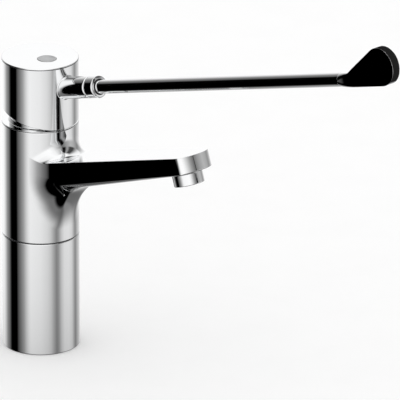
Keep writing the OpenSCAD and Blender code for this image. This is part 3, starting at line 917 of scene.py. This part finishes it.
def column_normal(radius):
    """Exact normals of the points that lie on the column."""
    def normal(point):
        """The normal of one point, or none where it is off the column."""
        flat = Vector((point.x, point.y, 0))
        return flat.normalized() if abs(flat.length - radius) < TINY else None
    return normal


class TAP_OT_spout(bpy.types.Operator):
    """Makes the spout's body and arm as one smooth skin"""

    bl_idname = "tap.spout"
    bl_label = "Spout body"

    def execute(self, context):
        column = context.scene.tap_column
        shape = SpoutShape(column, context.scene.tap_spout)
        dress(body_skin(shape, column), "spout_body", column_normal(column.radius))
        return {"FINISHED"}


def honeycomb(radius, cell, low, high, place):
    """A round plate of six-sided cells."""
    skin = Skin()
    turns = [math.radians(60 * k + 30) for k in range(6)]
    rows = int(radius / cell) + 2

    def inside(centre):
        """Whether a cell lies inside the plate."""
        return centre.length <= radius - cell * CELL_ROOM

    for i in range(-rows, rows + 1):
        for j in range(-rows, rows + 1):
            centre = Vector((cell * (i + j / 2), cell * j * math.sqrt(3) / 2, 0))
            if not inside(centre):
                continue
            loops = []
            for part, height in ((1, low), (1, high), (CELL_HOLE, high), (CELL_HOLE, low)):
                reach = part * cell / math.sqrt(3)
                loops.append([place @ (centre + spot(reach, t, height)) for t in turns])
            skin.grid(loops[1:], closed=True)
            skin.grid([loops[3], loops[0]], closed=True)
            for k, t in enumerate(turns):
                if not inside(centre + spot(cell, t + math.radians(30), 0)):
                    skin.grid([[loop[k], loop[(k + 1) % 6]] for loop in loops[:2]])
    return skin


class TAP_OT_aerator(bpy.types.Operator):
    """Turns the aerator's housing and cuts its screen"""

    bl_idname = "tap.aerator"
    bl_label = "Aerator"

    def execute(self, context):
        column, size = context.scene.tap_column, context.scene.tap_spout
        shape = SpoutShape(column, size)
        place = shape.aerator_place()
        face = shape.aerator_depth() + size.aerator_gap
        end = face + size.aerator_drop
        r, bore, e = size.aerator_radius, size.aerator_bore, column.edge
        lip, sill = bore - size.aerator_lip, end - size.screen_depth
        profile = [(bore, face)]
        profile += arc(r - e, face + e, e, -90, 0) + arc(r - e, end - e, e, 0, 90)
        profile += arc(lip + e, end - e, e, 90, 180) + [(lip, sill), (bore, sill)]
        dress(lathe(guarded(profile), place), "aerator_housing")
        screen = honeycomb(bore, size.screen_cell, sill - size.screen_thickness, sill, place)
        dress(screen, "aerator_screen")
        return {"FINISHED"}


# Cap and lever

# Patch round the stub: half its turn, steps, rows, half height in stub radii, rings of faces
PATCH_TURN = math.radians(30)
PATCH_STEPS = 30
PATCH_ROWS = 12
PATCH_REACH = 1.55
PATCH_RINGS = 10

# Columns and rows on each side of the middle of the screw plug's hole, and its rings of faces
HOLE_COLUMNS = 7
HOLE_ROWS = 3
HOLE_RINGS = 5

# Steps along the stub's fillet, along the stub and round its joint with the ferrule
FILLET_STEPS = 6
STUB_STEPS = 6
JOINT_STEPS = 6

# Shares of the way up the cap's side, from its slanted edge to the patch
SIDE_SHARES = (0.02, 0.2, 0.5, 0.8, 1)

# Room round the black rings of painted shade, and how far the one in the lid's groove lies back
# from the cap's side
RING_GAP = 0.00002
RING_BACK = 0.00008

# Slope at the edge of the index disc's dish, and the swell of the dish and of the plug's face
DISH_SLOPE = 0.0003
DISH_SWELL = 0.0001
PLUG_SWELL = 0.00005
PLUG_STEPS = 64


def lever_place(size):
    """The lever's axis: local Z runs along the lever and local X points down."""
    place = Matrix.Translation((0, 0, CAP_HIGH.z - size.lever_drop))
    return place @ Matrix.Rotation(math.pi / 2 - size.lever_rise, 4, "Y")


class CapShape:
    """The cap's slanted cup and the stub that grows out of its side."""

    def __init__(self, column, size):
        self.r = column.radius
        self.size = size
        place = lever_place(size)
        self.axis = (place.to_3x3() @ Vector((0, 0, 1))).normalized()
        self.up = (place.to_3x3() @ Vector((-1, 0, 0))).normalized()
        self.start = place.translation
        self.stub_z = self.start.z + self.r * math.tan(size.lever_rise)
        lowest = NECK_LOW.z + column.rim + size.cut_gap
        self.cut_z = lowest + self.r * math.tan(size.cap_cut)

    def edge_z(self, radius, turn):
        """Height of the slanted lower plane."""
        return self.cut_z - radius * math.cos(turn) * math.tan(self.size.cap_cut)

    def stub_point(self, out, across, along):
        """Point in one direction from the stub's axis."""
        return self.start + self.axis * along + out * across

    def stub_ring(self, turn):
        """Foot of the stub's fillet on the cap, its points, and the stub's direction."""
        f = self.size.stub_fillet
        out = Vector((0, math.cos(turn), 0)) + self.up * math.sin(turn)
        far = self.size.stub_radius + f
        x = math.sqrt((self.r + f) ** 2 - (far * out.y) ** 2)
        centre = self.stub_point(out, far, (x - far * out.x) / self.axis.x)
        squeeze = self.r / (self.r + f)
        foot = Vector((centre.x * squeeze, centre.y * squeeze, centre.z))
        wall = (foot - centre).normalized()
        shares = steps_between(0, 1, FILLET_STEPS)
        return foot, [centre + f * wall.slerp(-out, part) for part in shares], out

    def normal(self, point):
        """Exact normals on the cap's side and on the stub."""
        flat = Vector((point.x, point.y, 0))
        if abs(flat.length - self.r) < TINY:
            return flat.normalized()
        out = point - self.start
        out -= self.axis * out.dot(self.axis)
        if flat.length > self.r and abs(out.length - self.size.stub_radius) < TINY:
            return out.normalized()
        return None


def back_skin(skin, shape, turns, levels):
    """The cap's side away from the stub, with the hole for the screw plug."""
    r = shape.r
    hole = PLUG_RADIUS + shape.size.plug_gap
    back = len(turns) // 2
    first, last = back - HOLE_COLUMNS, back + HOLE_COLUMNS
    nearest = min(range(len(levels)), key=lambda k: abs(levels[k] - PLUG_CENTRE.z))
    low, high = nearest - HOLE_ROWS, nearest + HOLE_ROWS
    skin.window([round_points(r, turns, z) for z in levels], low, high, first, last)
    inner = [[(turn, z) for turn in turns[first:last + 1]] for z in levels[low:high + 1]]
    columns = []
    for turn, z in border_of(inner):
        across, up = (turn - math.pi) * r, z - PLUG_CENTRE.z
        scale = hole / math.hypot(across, up)
        rim_turn = math.pi + math.asin(across * scale / r)
        rim_z = PLUG_CENTRE.z + up * scale
        points = []
        for part in steps_between(0, 1, HOLE_RINGS):
            points.append(spot(r, turn + (rim_turn - turn) * part, z + (rim_z - z) * part))
        points.append(Vector((PLUG_HIGH.x, points[-1].y, points[-1].z)))
        columns.append(points)
    rings = [list(ring) for ring in zip(*columns)]
    skin.grid(rings, closed=True)
    skin.fill(rings[-1])


def cap_skin(shape):
    """The cap with its stub, index recess and hollow."""
    skin = Skin()
    size, r, top = shape.size, shape.r, CAP_HIGH.z
    patch = steps_between(-PATCH_TURN, PATCH_TURN, PATCH_STEPS)
    others = round(math.pi / PATCH_TURN * PATCH_STEPS) - PATCH_STEPS
    rest = steps_between(PATCH_TURN, 2 * math.pi - PATCH_TURN, others)
    turns = patch + rest[1:-1]
    low = shape.stub_z - PATCH_REACH * size.stub_radius
    high = shape.stub_z + PATCH_REACH * size.stub_radius
    lip, e, roof = size.cap_lip, size.cap_edge, top - size.cap_roof

    def level(radius, height):
        """A ring of the cap; height is a number or one per turn."""
        return round_points(radius, turns, height)

    # Socket, boss, hollow, slanted edge and side up to the stub's patch
    rows = [
        level(size.socket_radius, top - size.socket_drop),
        level(size.socket_radius, top - size.boss_drop),
        level(size.boss_radius, top - size.boss_drop),
        level(size.boss_radius, roof),
        level(size.cap_bore, roof),
    ]
    for radius in (size.cap_bore, r - lip - EDGE_GUARD / 2):
        rows.append(level(radius, [shape.edge_z(radius, t) for t in turns]))
    for across, along in arc(r - lip, 0, lip, -90, 0):
        rows.append(level(across, [shape.edge_z(across, t) + lip + along for t in turns]))
    foot = [shape.edge_z(r, t) + lip for t in turns]
    for part in SIDE_SHARES:
        rows.append(level(r, [z + (low - z) * part for z in foot]))
    skin.fill(rows[0])
    skin.grid(rows, closed=True)

    # Side behind the patch, and from the patch up over the top edge to the index recess
    levels = steps_between(low, high, PATCH_ROWS)
    back_skin(skin, shape, rest, levels)
    ledge = top - size.lid - size.lid_gap
    rows = [level(r, z) for z in (high, (high + ledge) / 2, ledge - EDGE_GUARD)]
    rows += [level(a, ledge - lip / 2 + h) for a, h in arc(r - lip / 2, 0, lip / 2, 0, 90)]
    rows += [level(r - size.lid_depth, z) for z in (ledge, ledge + size.lid_gap)]
    rows.append(level(r, top - size.lid))
    rows += [level(a, top - e + h) for a, h in arc(r - e, 0, e, 0, 90)]
    rows.append(level(r - e - EDGE_GUARD, top))
    aside = Vector((DISC_CENTRE.x, DISC_CENTRE.y, 0))
    for depth in (0, size.index_depth):
        ring = level(DISC_RADIUS + size.index_gap, top - depth)
        rows.append([point + aside for point in ring])
    skin.grid(rows, closed=True)
    skin.fill(rows[-1])

    # Patch round the stub's foot, the fillet and the stub
    edge = size.joint_edge
    shoulder, inner = size.stub_end - edge, size.stub_radius - edge
    joint = arc(inner, shoulder, edge, 0, 90, JOINT_STEPS)
    joint.append((inner - EDGE_GUARD, size.stub_end))
    columns = []
    for turn, z in border_of([[(turn, z) for turn in patch] for z in levels]):
        foot, fillet, out = shape.stub_ring(math.atan2(z - shape.stub_z, turn * r))
        foot_turn = math.atan2(foot.y, foot.x)
        points = []
        for part in steps_between(0, 1, PATCH_RINGS):
            points.append(spot(r, turn + (foot_turn - turn) * part, z + (foot.z - z) * part))
        points += fillet[1:]
        begin = (fillet[-1] - shape.start).dot(shape.axis)
        along = steps_between(begin, shoulder - EDGE_GUARD, STUB_STEPS)[1:]
        for across, u in [(size.stub_radius, u) for u in along] + joint:
            points.append(shape.stub_point(out, across, u))
        columns.append(points)
    rings = [list(ring) for ring in zip(*columns)]
    skin.grid(rings, closed=True)
    skin.fill(rings[-1])
    return skin


class TAP_OT_cap(bpy.types.Operator):
    """Makes the cap with its stub, a black ring of painted shade in its lid's groove, its index
    disc and the plug over its screw
    """

    bl_idname = "tap.cap"
    bl_label = "Handle cap"

    def execute(self, context):
        column, size = context.scene.tap_column, context.scene.tap_handle
        shape = CapShape(column, size)
        dress(cap_skin(shape), "handle_cap", shape.normal)

        # Black ring in the rubber finish inside the groove under the lid: painted shade for the
        # dark seam at the cap's top edge
        high = CAP_HIGH.z - size.lid - RING_GAP
        low = high - size.lid_gap + 2 * RING_GAP
        inner, outer = column.radius - size.lid_depth + RING_GAP, column.radius - RING_BACK
        attach(washer(inner, outer, low, high), "lid_groove_shade_ring", BODY_OF["handle_cap"], "rubber")

        r, e, crown = DISC_RADIUS, column.edge, size.index_crown
        dish, floor = r - size.index_rim, crown - size.index_dish
        profile = [(0.0, -size.index_depth), (r, -size.index_depth)]
        profile += arc(r - e, crown - e, e, 0, 90)
        profile += [(dish, crown), (dish - DISH_SLOPE, floor), (0.0, floor + DISH_SWELL)]
        place = Matrix.Translation((DISC_CENTRE.x, DISC_CENTRE.y, DISC_HIGH.z))
        dress(lathe(profile, place), "index_disc")

        r, deep = PLUG_RADIUS, PLUG_HIGH.x - PLUG_LOW.x
        profile = [(0.0, 0.0), (r, 0.0)]
        profile += arc(r - e, deep - e, e, 0, 90) + [(0.0, deep + PLUG_SWELL)]
        place = Matrix.Translation((PLUG_HIGH.x, 0, PLUG_CENTRE.z))
        place = place @ Matrix.Rotation(-math.pi / 2, 4, "Y")
        dress(lathe(profile, place, PLUG_STEPS), "screw_plug")
        return {"FINISHED"}


# Steps of the paddle along its seam, shank, blade and head, and across the shank's flat face
SEAM_STEPS = 6
SHANK_STEPS = 16
BLADE_STEPS = 12
HEAD_STEPS = 72
FACE_STEPS = 6

# Shares of the way across the paddle's rim, and turns of the rounding on each side of it
RIM_SHARES = (0, 0.06, 0.5, 0.94, 1)
RIM_TURNS = [math.radians(a) for a in (0, 10, 22, 36, 50, 64, 78, 90)]

# Slopes of the ferrule's domed end at its rim and at the black ring of painted shadow in its
# recess, in degrees, and its steps
DOME_RIM = 55
DOME_MOUTH = 85
DOME_STEPS = 8

# Steps of the rod along the seam and round
DIP_STEPS = 8
ROD_STEPS = 96


def seam_dip(size, distance):
    """Depth of the shallow dip at a distance from the seam between the rod and the paddle."""
    part = min(1.0, distance / size.seam_length)
    return size.seam_dip * (1 - part) ** 2


def paddle_outline(size):
    """Outline of the paddle on the lever's plane, as (along, up, inward along, inward up),
    from the rod's end below, round the head, back to the rod's end above. Also says how
    many points belong to the shank on each side."""
    r, head_r, crook = size.rod_radius, size.paddle_radius, size.paddle_crook
    shank = size.rod_end + size.shank
    head = size.rod_end + size.paddle_length
    flat = size.rod_end + size.paddle_flat
    head_up = head_r - r
    lean = 2 * math.atan(head_up / (head - shank))
    slope = math.tan(lean)
    touch = (shank - r * math.sin(lean), r * math.cos(lean))
    bend_start = touch[0] + (r - touch[1]) / slope - crook * math.tan(lean / 2)

    def below(u):
        """The lower edge at u: straight on from the rod."""
        return u, -r, 0.0, 1.0

    def above(u):
        """The upper edge at u: the rod's top, a hollow, then a straight rise."""
        if u <= bend_start:
            v, turn = r, 0.0
        elif u >= bend_start + crook * math.sin(lean):
            v, turn = touch[1] + (u - touch[0]) * slope, lean
        else:
            turn = math.asin((u - bend_start) / crook)
            v = r + crook * (1 - math.cos(turn))
        return u, v, math.sin(turn), -math.cos(turn)

    places = steps_between(size.rod_end, size.rod_end + size.seam_length, SEAM_STEPS)
    places += steps_between(places[-1], flat, SHANK_STEPS)[1:]
    outline = [below(u) for u in places + steps_between(flat, head, BLADE_STEPS)[1:-1]]
    for t in steps_between(-math.pi / 2, math.pi / 2 + lean, HEAD_STEPS):
        a, b = math.cos(t), math.sin(t)
        outline.append((head + head_r * a, head_up + head_r * b, -a, -b))
    tangent = head - head_r * math.sin(lean)
    blade = steps_between(flat, tangent, BLADE_STEPS)[1:-1]
    outline += [above(u) for u in reversed(places + blade)]
    return outline, len(places)


def paddle_skin(size, place):
    """The paddle: a round shank that flattens into a plate with a rounded rim."""
    skin = Skin()
    outline, shank_count = paddle_outline(size)
    half = size.paddle_thickness / 2

    def section(u):
        """Half thickness and rim rounding along the shank."""
        t = max(0.0, min(1.0, (u - size.rod_end) / size.paddle_flat))
        t = t * (2 - t)
        r = size.rod_radius
        return r + (half - r) * t, r + (size.paddle_rim - r) * t

    def point(mark, a, side):
        """Point of the rounded rim on one side of the paddle."""
        u, v, inward_u, inward_v = mark
        thick, rim = section(u)
        shrink = 1 - seam_dip(size, u - size.rod_end) / size.rod_radius
        inset = rim * (1 - math.cos(a))
        y = side * (thick - rim * (1 - math.sin(a)))
        up = v + inward_v * inset
        return place @ Vector((-up * shrink, y * shrink, u + inward_u * inset))

    for side in (-1, 1):
        strips = [[point(mark, a, side) for mark in outline] for a in RIM_TURNS]
        skin.grid(strips)
        inner = strips[-1]
        below = inner[:shank_count]
        above = inner[-shank_count:][::-1]
        face = between(below, above, steps_between(0, 1, FACE_STEPS))
        skin.grid(face)
        skin.fill([row[-1] for row in reversed(face)] + inner[shank_count:-shank_count])
    near, far = [[point(mark, 0.0, side) for mark in outline] for side in (-1, 1)]
    skin.grid(between(near, far, RIM_SHARES))
    low, high = outline[0], outline[-1]
    ends = []
    for first, last, side in ((low, high, -1), (high, low, 1)):
        end = [point(first, a, side) for a in RIM_TURNS]
        ends.append(end + [point(last, a, side) for a in RIM_TURNS[-2::-1]])
    skin.fill(ends[0] + ends[1][1:-1])
    return skin


class TAP_OT_lever(bpy.types.Operator):
    """Turns the ferrule, a black ring of painted shadow in its end's recess, and the rod, and makes
    the elbow paddle
    """

    bl_idname = "tap.lever"
    bl_label = "Lever"

    def execute(self, context):
        size = context.scene.tap_handle
        place = lever_place(size)
        r, rod, dome = size.stub_radius, size.rod_radius, size.dome
        e, end_e = size.joint_edge, size.ferrule_edge
        start, end = size.stub_end, size.ferrule_end
        low = end - size.recess_depth
        rim, mouth = math.radians(DOME_RIM), math.radians(DOME_MOUTH)
        along = end - dome * math.sin(mouth)
        across = r - end_e - (dome - end_e) * math.cos(rim)
        side = along + (dome - end_e) * math.sin(rim)
        recess = across + dome * math.cos(mouth)
        profile = [(rod, start)] + arc(r - e, start + e, e, -90, 0, JOINT_STEPS)
        profile += arc(r - end_e, side, end_e, 0, DOME_RIM, DOME_STEPS)
        profile += arc(across, along, dome, DOME_RIM, DOME_MOUTH, DOME_STEPS)
        profile += [(recess, low), (rod, low)]
        dress(lathe(guarded(profile), place), "lever_ferrule")

        # Black ring in the rubber finish inside the ferrule's recess: painted shadow round the rod
        inner, outer = rod + RING_GAP, recess - RING_GAP
        recess_shade = washer(inner, outer, low + RING_GAP, end - size.shade_ring_drop, place)
        attach(recess_shade, "recess_shade_ring", BODY_OF["lever_ferrule"], "rubber")

        profile = [(0.0, start), (rod, start)]
        for distance in steps_between(size.seam_length, 0, DIP_STEPS):
            profile.append((rod - seam_dip(size, distance), size.rod_end - distance))
        profile += [(0.0, size.rod_end)]
        dress(lathe(guarded(profile), place, ROD_STEPS), "lever_rod")

        dress(paddle_skin(size, place), "elbow_paddle")
        return {"FINISHED"}


# Inner pieces

class TAP_OT_inside(bpy.types.Operator):
    """Gives the pieces that keep their solid shape their finishes"""

    bl_idname = "tap.inside"
    bl_label = "Inner pieces"

    def execute(self, context):
        for name, node in frame["nodes"].items():
            if node.hide_render:
                continue
            for slot in node.material_slots:
                slot.material = finish_of(SLOT_OF[name])
        return {"FINISHED"}


# Stage

# Greys that the chrome sees, as (turn, grey): 0 degrees is the camera's side, 90 its right
LOW_WALLS = (
    (-180, 1.06), (-147, 1.04), (-138, 0.95), (-130, 0.74), (-118, 0.32), (-107, 0.17),
    (-102, 0.04), (-98, 0.0), (-76, 0.0), (-70, 0.1), (-62, 0.2), (-52, 0.37), (-43, 0.66),
    (-36, 0.85), (-30, 0.93), (0, 0.87), (20, 0.75), (30, 0.63), (39, 0.42), (48, 0.25),
    (55, 0.33), (65, 0.62), (75, 0.8), (92, 0.83), (106, 0.73), (117, 0.44), (125, 0.28),
    (140, 0.54), (180, 1.06),
)
LEVEL_WALLS = (
    (-180, 1.06), (-160, 0.75), (-140, 0.4), (-124, 0.2), (-112, 0.0), (-73, 0.0),
    (-66, 0.2), (-52, 0.6), (-36, 1.0), (10, 1.06), (22, 0.92), (33, 0.64), (44, 0.36),
    (59, 0.15), (75, 0.32), (98, 0.49), (115, 0.42), (137, 0.24), (155, 0.5), (180, 1.06),
)
HIGH_WALLS = (
    (-180, 1.06), (-170, 0.9), (-160, 0.6), (-140, 0.28), (-126, 0.15), (-110, 0.0),
    (-75, 0.0), (-60, 0.3), (-40, 0.9), (0, 1.06), (20, 0.95), (38, 0.62), (44, 0.5),
    (49, 0.38), (54, 0.13), (57, 0.01), (60, 0.0), (67, 0.0), (70, 0.08), (75, 0.25),
    (80, 0.35), (88, 0.2), (94, 0.06), (115, 0.06), (130, 0.35), (150, 0.85), (168, 1.04),
    (180, 1.06),
)
NEAR_FLOOR = (
    (-180, 0.5), (-150, 0.4), (-135, 0.32), (-122, 0.2), (-112, 0.03), (-106, 0.0), (-74, 0.0),
    (-66, 0.13), (-50, 0.19), (0, 0.2), (40, 0.15), (55, 0.13), (68, 0.18), (80, 0.28),
    (95, 0.28), (105, 0.18), (145, 0.15), (180, 0.5),
)
FOOT_FLOOR = (
    (-180, 0.8), (-160, 0.6), (-140, 0.46), (-124, 0.36), (-114, 0.05), (-107, 0.0),
    (145, 0.0), (165, 0.1), (180, 0.8),
)

# Layers over the low walls: where each fades in, in degrees up, and none for the ceiling
STUDIO_LAYERS = (
    (-12, 2, LEVEL_WALLS), (18, 26, HIGH_WALLS), (58, 70, None),
    (-20, -52, NEAR_FLOOR), (-57, -68, FOOT_FLOOR),
)

# Degrees that the greys lean per unit of a ray's depth, and the turn from which they lean
LEAN = 46.0
LEAN_FROM = -90

# Plane of the dark card, and the inner and outer edge of its band as (x, z)
DARK_CARD_Y = 0.08
DARK_CARD = (
    ((0.235, 0.246), (0.229, 0.269), (0.229, 0.298), (0.240, 0.326), (0.273, 0.357),
     (0.317, 0.369), (0.361, 0.357), (0.395, 0.325), (0.406, 0.296), (0.408, 0.265),
     (0.399, 0.236), (0.381, 0.211), (0.355, 0.194), (0.326, 0.186), (0.296, 0.189)),
    ((0.211, 0.236), (0.203, 0.266), (0.204, 0.304), (0.218, 0.340), (0.260, 0.380),
     (0.317, 0.395), (0.374, 0.380), (0.417, 0.339), (0.432, 0.302), (0.434, 0.262),
     (0.422, 0.224), (0.399, 0.193), (0.367, 0.171), (0.329, 0.161), (0.291, 0.164)),
)

# Sensor width in millimetres, and how far the camera sees
SENSOR = 36
FAR_CLIP = 100

# Depth of the floor and of the dim patch below the foot, and half the patch in shade reaches
FLOOR_SINK = 0.0002
SHADE_SINK = 0.0001
SHADE_SPREAD = 6

# Rays that do not see the dim patch and the dark card
UNSEEN = ("camera", "diffuse", "shadow")


def rise_between(graph, height, first, last):
    """0 at the first elevation in degrees, 1 at the last, and smooth between them."""
    low, high = math.sin(math.radians(first)), math.sin(math.radians(last))
    values = {"Value": height, "From Min": low, "From Max": high}
    settings = {"interpolation_type": "SMOOTHSTEP"}
    return graph.add("ShaderNodeMapRange", settings=settings, values=values)


def turn_share(degrees):
    """A turn from -180 to 180 degrees as a share from 0 to 1."""
    return degrees / 360 + 0.5


def studio_world(look):
    """White all round, and for the chrome a white ceiling with grey and black walls."""
    graph = Graph(bpy.data.worlds.new("studio"))
    turned = graph.add(
        "ShaderNodeVectorRotate",
        settings={"rotation_type": "Z_AXIS"},
        values={
            "Vector": graph.add("ShaderNodeTexCoord", "Generated"),
            "Angle": math.pi / 2 - look.turn,
        },
    )
    x, y, z = [graph.add("ShaderNodeSeparateXYZ", axis, values={0: turned}) for axis in "XYZ"]
    bearing = graph.math("ARCTAN2", y, x) * (0.5 / math.pi) + 0.5
    depth = graph.math("MAXIMUM", -math.sin(look.height) - z, 0.0)
    lean = depth * graph.math("GREATER_THAN", bearing, turn_share(LEAN_FROM)) * (LEAN / 360)
    bearing = bearing - lean

    def greys(walls):
        """The greys of one layer."""
        stops = [(turn_share(turn), value) for turn, value in walls]
        return graph.add("ShaderNodeValToRGB", settings={"stops": stops}, values={0: bearing})

    studio = greys(LOW_WALLS)
    for first, last, walls in STUDIO_LAYERS:
        layer = greys(walls) if walls else grey(look.white)
        studio = graph.mix(rise_between(graph, z, first, last), studio, layer)
    reflected = graph.add("ShaderNodeLightPath", "Is Glossy Ray")
    light = graph.mix(reflected, grey(1), studio)
    background = graph.add("ShaderNodeBackground", values={"Color": light, "Strength": 1.0})
    graph.add("ShaderNodeOutputWorld", values={"Surface": background})
    return graph.owner


def foot_shade(look):
    """Dim patch round the foot, as the chrome sees it."""
    graph = Graph(bpy.data.materials.new("foot_shade"))
    radius = graph.distance(graph.place(), (0, 0, 0))
    fade = graph.math("POWER", math.exp(-1 / look.shade_reach), radius)
    clear = graph.add("ShaderNodeBsdfTransparent")
    dark = graph.add("ShaderNodeEmission", values={"Color": grey(0), "Strength": 0.0})
    amounts = {0: look.shade_depth * fade, 1: clear, 2: dark}
    return graph.end(graph.add("ShaderNodeMixShader", values=amounts))


def floor_finish(look):
    """White floor that keeps the tap's shadow."""
    graph = Graph(bpy.data.materials.new("white_floor"))
    grain = graph.noise(graph.place(), scale=30.0)
    return graph.surface({
        "Base Color": graph.mix(grain, grey(0.9), grey(0.93)),
        "Roughness": 0.9,
        "Emission Color": grey(1),
        "Emission Strength": look.floor_glow,
    })


def card_finish(look):
    """Dark card that the end of the lever looks into."""
    graph = Graph(bpy.data.materials.new("dark_card"))
    values = {"Color": grey(look.card), "Strength": 1.0}
    return graph.end(graph.add("ShaderNodeEmission", values=values))


def square(half, level):
    """A level square round the column's axis."""
    skin = Skin()
    corners = ((-1, -1), (1, -1), (1, 1), (-1, 1))
    skin.fill([Vector((x * half, y * half, level)) for x, y in corners])
    return skin


def stage_piece(skin, name, material, unseen):
    """Puts a piece on the stage that some kinds of rays do not see."""
    piece = skin.finish(name)
    piece.data.materials.append(material)
    for kind in unseen:
        setattr(piece, "visible_" + kind, False)


class TAP_OT_stage(bpy.types.Operator):
    """Sets the camera, the white floor and the studio's light"""

    bl_idname = "tap.stage"
    bl_label = "Stage"

    def execute(self, context):
        look = context.scene.tap_studio
        right = Vector((math.cos(look.turn), math.sin(look.turn), 0))
        ahead = Vector((-math.sin(look.turn), math.cos(look.turn), 0))
        back = Vector((0, 0, math.sin(look.height))) - ahead * math.cos(look.height)
        up = back.cross(right)
        target = right * look.aim_right + Vector((0, 0, look.aim_up))
        lens = bpy.data.cameras.new("camera")
        lens.lens = look.lens
        lens.sensor_width = SENSOR
        lens.clip_end = FAR_CLIP
        camera = bpy.data.objects.new("camera", lens)
        turn = Matrix((right, up, back)).transposed().to_4x4()
        camera.matrix_world = Matrix.Translation(target + back * look.distance) @ turn
        context.scene.collection.objects.link(camera)
        context.scene.camera = camera

        floor = square(look.floor_size / 2, -FLOOR_SINK)
        stage_piece(floor, "floor", floor_finish(look), ["glossy"])
        dim = square(SHADE_SPREAD * look.shade_reach, -SHADE_SINK)
        stage_piece(dim, "foot_shade", foot_shade(look), UNSEEN)
        card = Skin()
        card.grid([[Vector((x, DARK_CARD_Y, z)) for x, z in row] for row in DARK_CARD])
        stage_piece(card, "dark_card", card_finish(look), UNSEEN)

        context.scene.world = studio_world(look)
        context.scene.view_settings.view_transform = "Standard"
        return {"FINISHED"}


class TAP_PT_sidebar(bpy.types.Panel):
    """Lists the tap's pieces and sizes"""

    bl_idname = "TAP_PT_sidebar"
    bl_label = "Elbow lever tap"
    bl_space_type = "VIEW_3D"
    bl_region_type = "UI"
    bl_category = "Tap"

    def draw(self, context):
        for piece in OPERATORS:
            self.layout.operator(piece.bl_idname)
        for group in PROPERTY_GROUPS:
            box = self.layout.box()
            settings = getattr(context.scene, group)
            for name in settings.bl_rna.properties.keys():
                if name not in ("rna_type", "name"):
                    box.prop(settings, name)


PROPERTY_GROUPS = {
    "tap_column": ColumnSizes,
    "tap_spout": SpoutSizes,
    "tap_handle": HandleSizes,
    "tap_finishes": TapFinishes,
    "tap_studio": StudioLook,
}
OPERATORS = (
    TAP_OT_stage,
    TAP_OT_base,
    TAP_OT_spout,
    TAP_OT_aerator,
    TAP_OT_neck,
    TAP_OT_cap,
    TAP_OT_lever,
    TAP_OT_inside,
)


def register():
    """Registers the classes and hangs the property groups on the scene."""
    for group in (*PROPERTY_GROUPS.values(), *OPERATORS, TAP_PT_sidebar):
        bpy.utils.register_class(group)
    for name, group in PROPERTY_GROUPS.items():
        setattr(bpy.types.Scene, name, PointerProperty(type=group))


def unregister():
    """Undoes register."""
    for name in PROPERTY_GROUPS:
        delattr(bpy.types.Scene, name)
    for group in (TAP_PT_sidebar, *reversed(OPERATORS), *PROPERTY_GROUPS.values()):
        bpy.utils.unregister_class(group)


def main():
    """Makes the stage and every piece."""
    register()
    bpy.ops.tap.stage()
    bpy.ops.tap.base()
    bpy.ops.tap.spout()
    bpy.ops.tap.aerator()
    bpy.ops.tap.neck()
    bpy.ops.tap.cap()
    bpy.ops.tap.lever()
    bpy.ops.tap.inside()


if __name__ == "__main__":
    main()
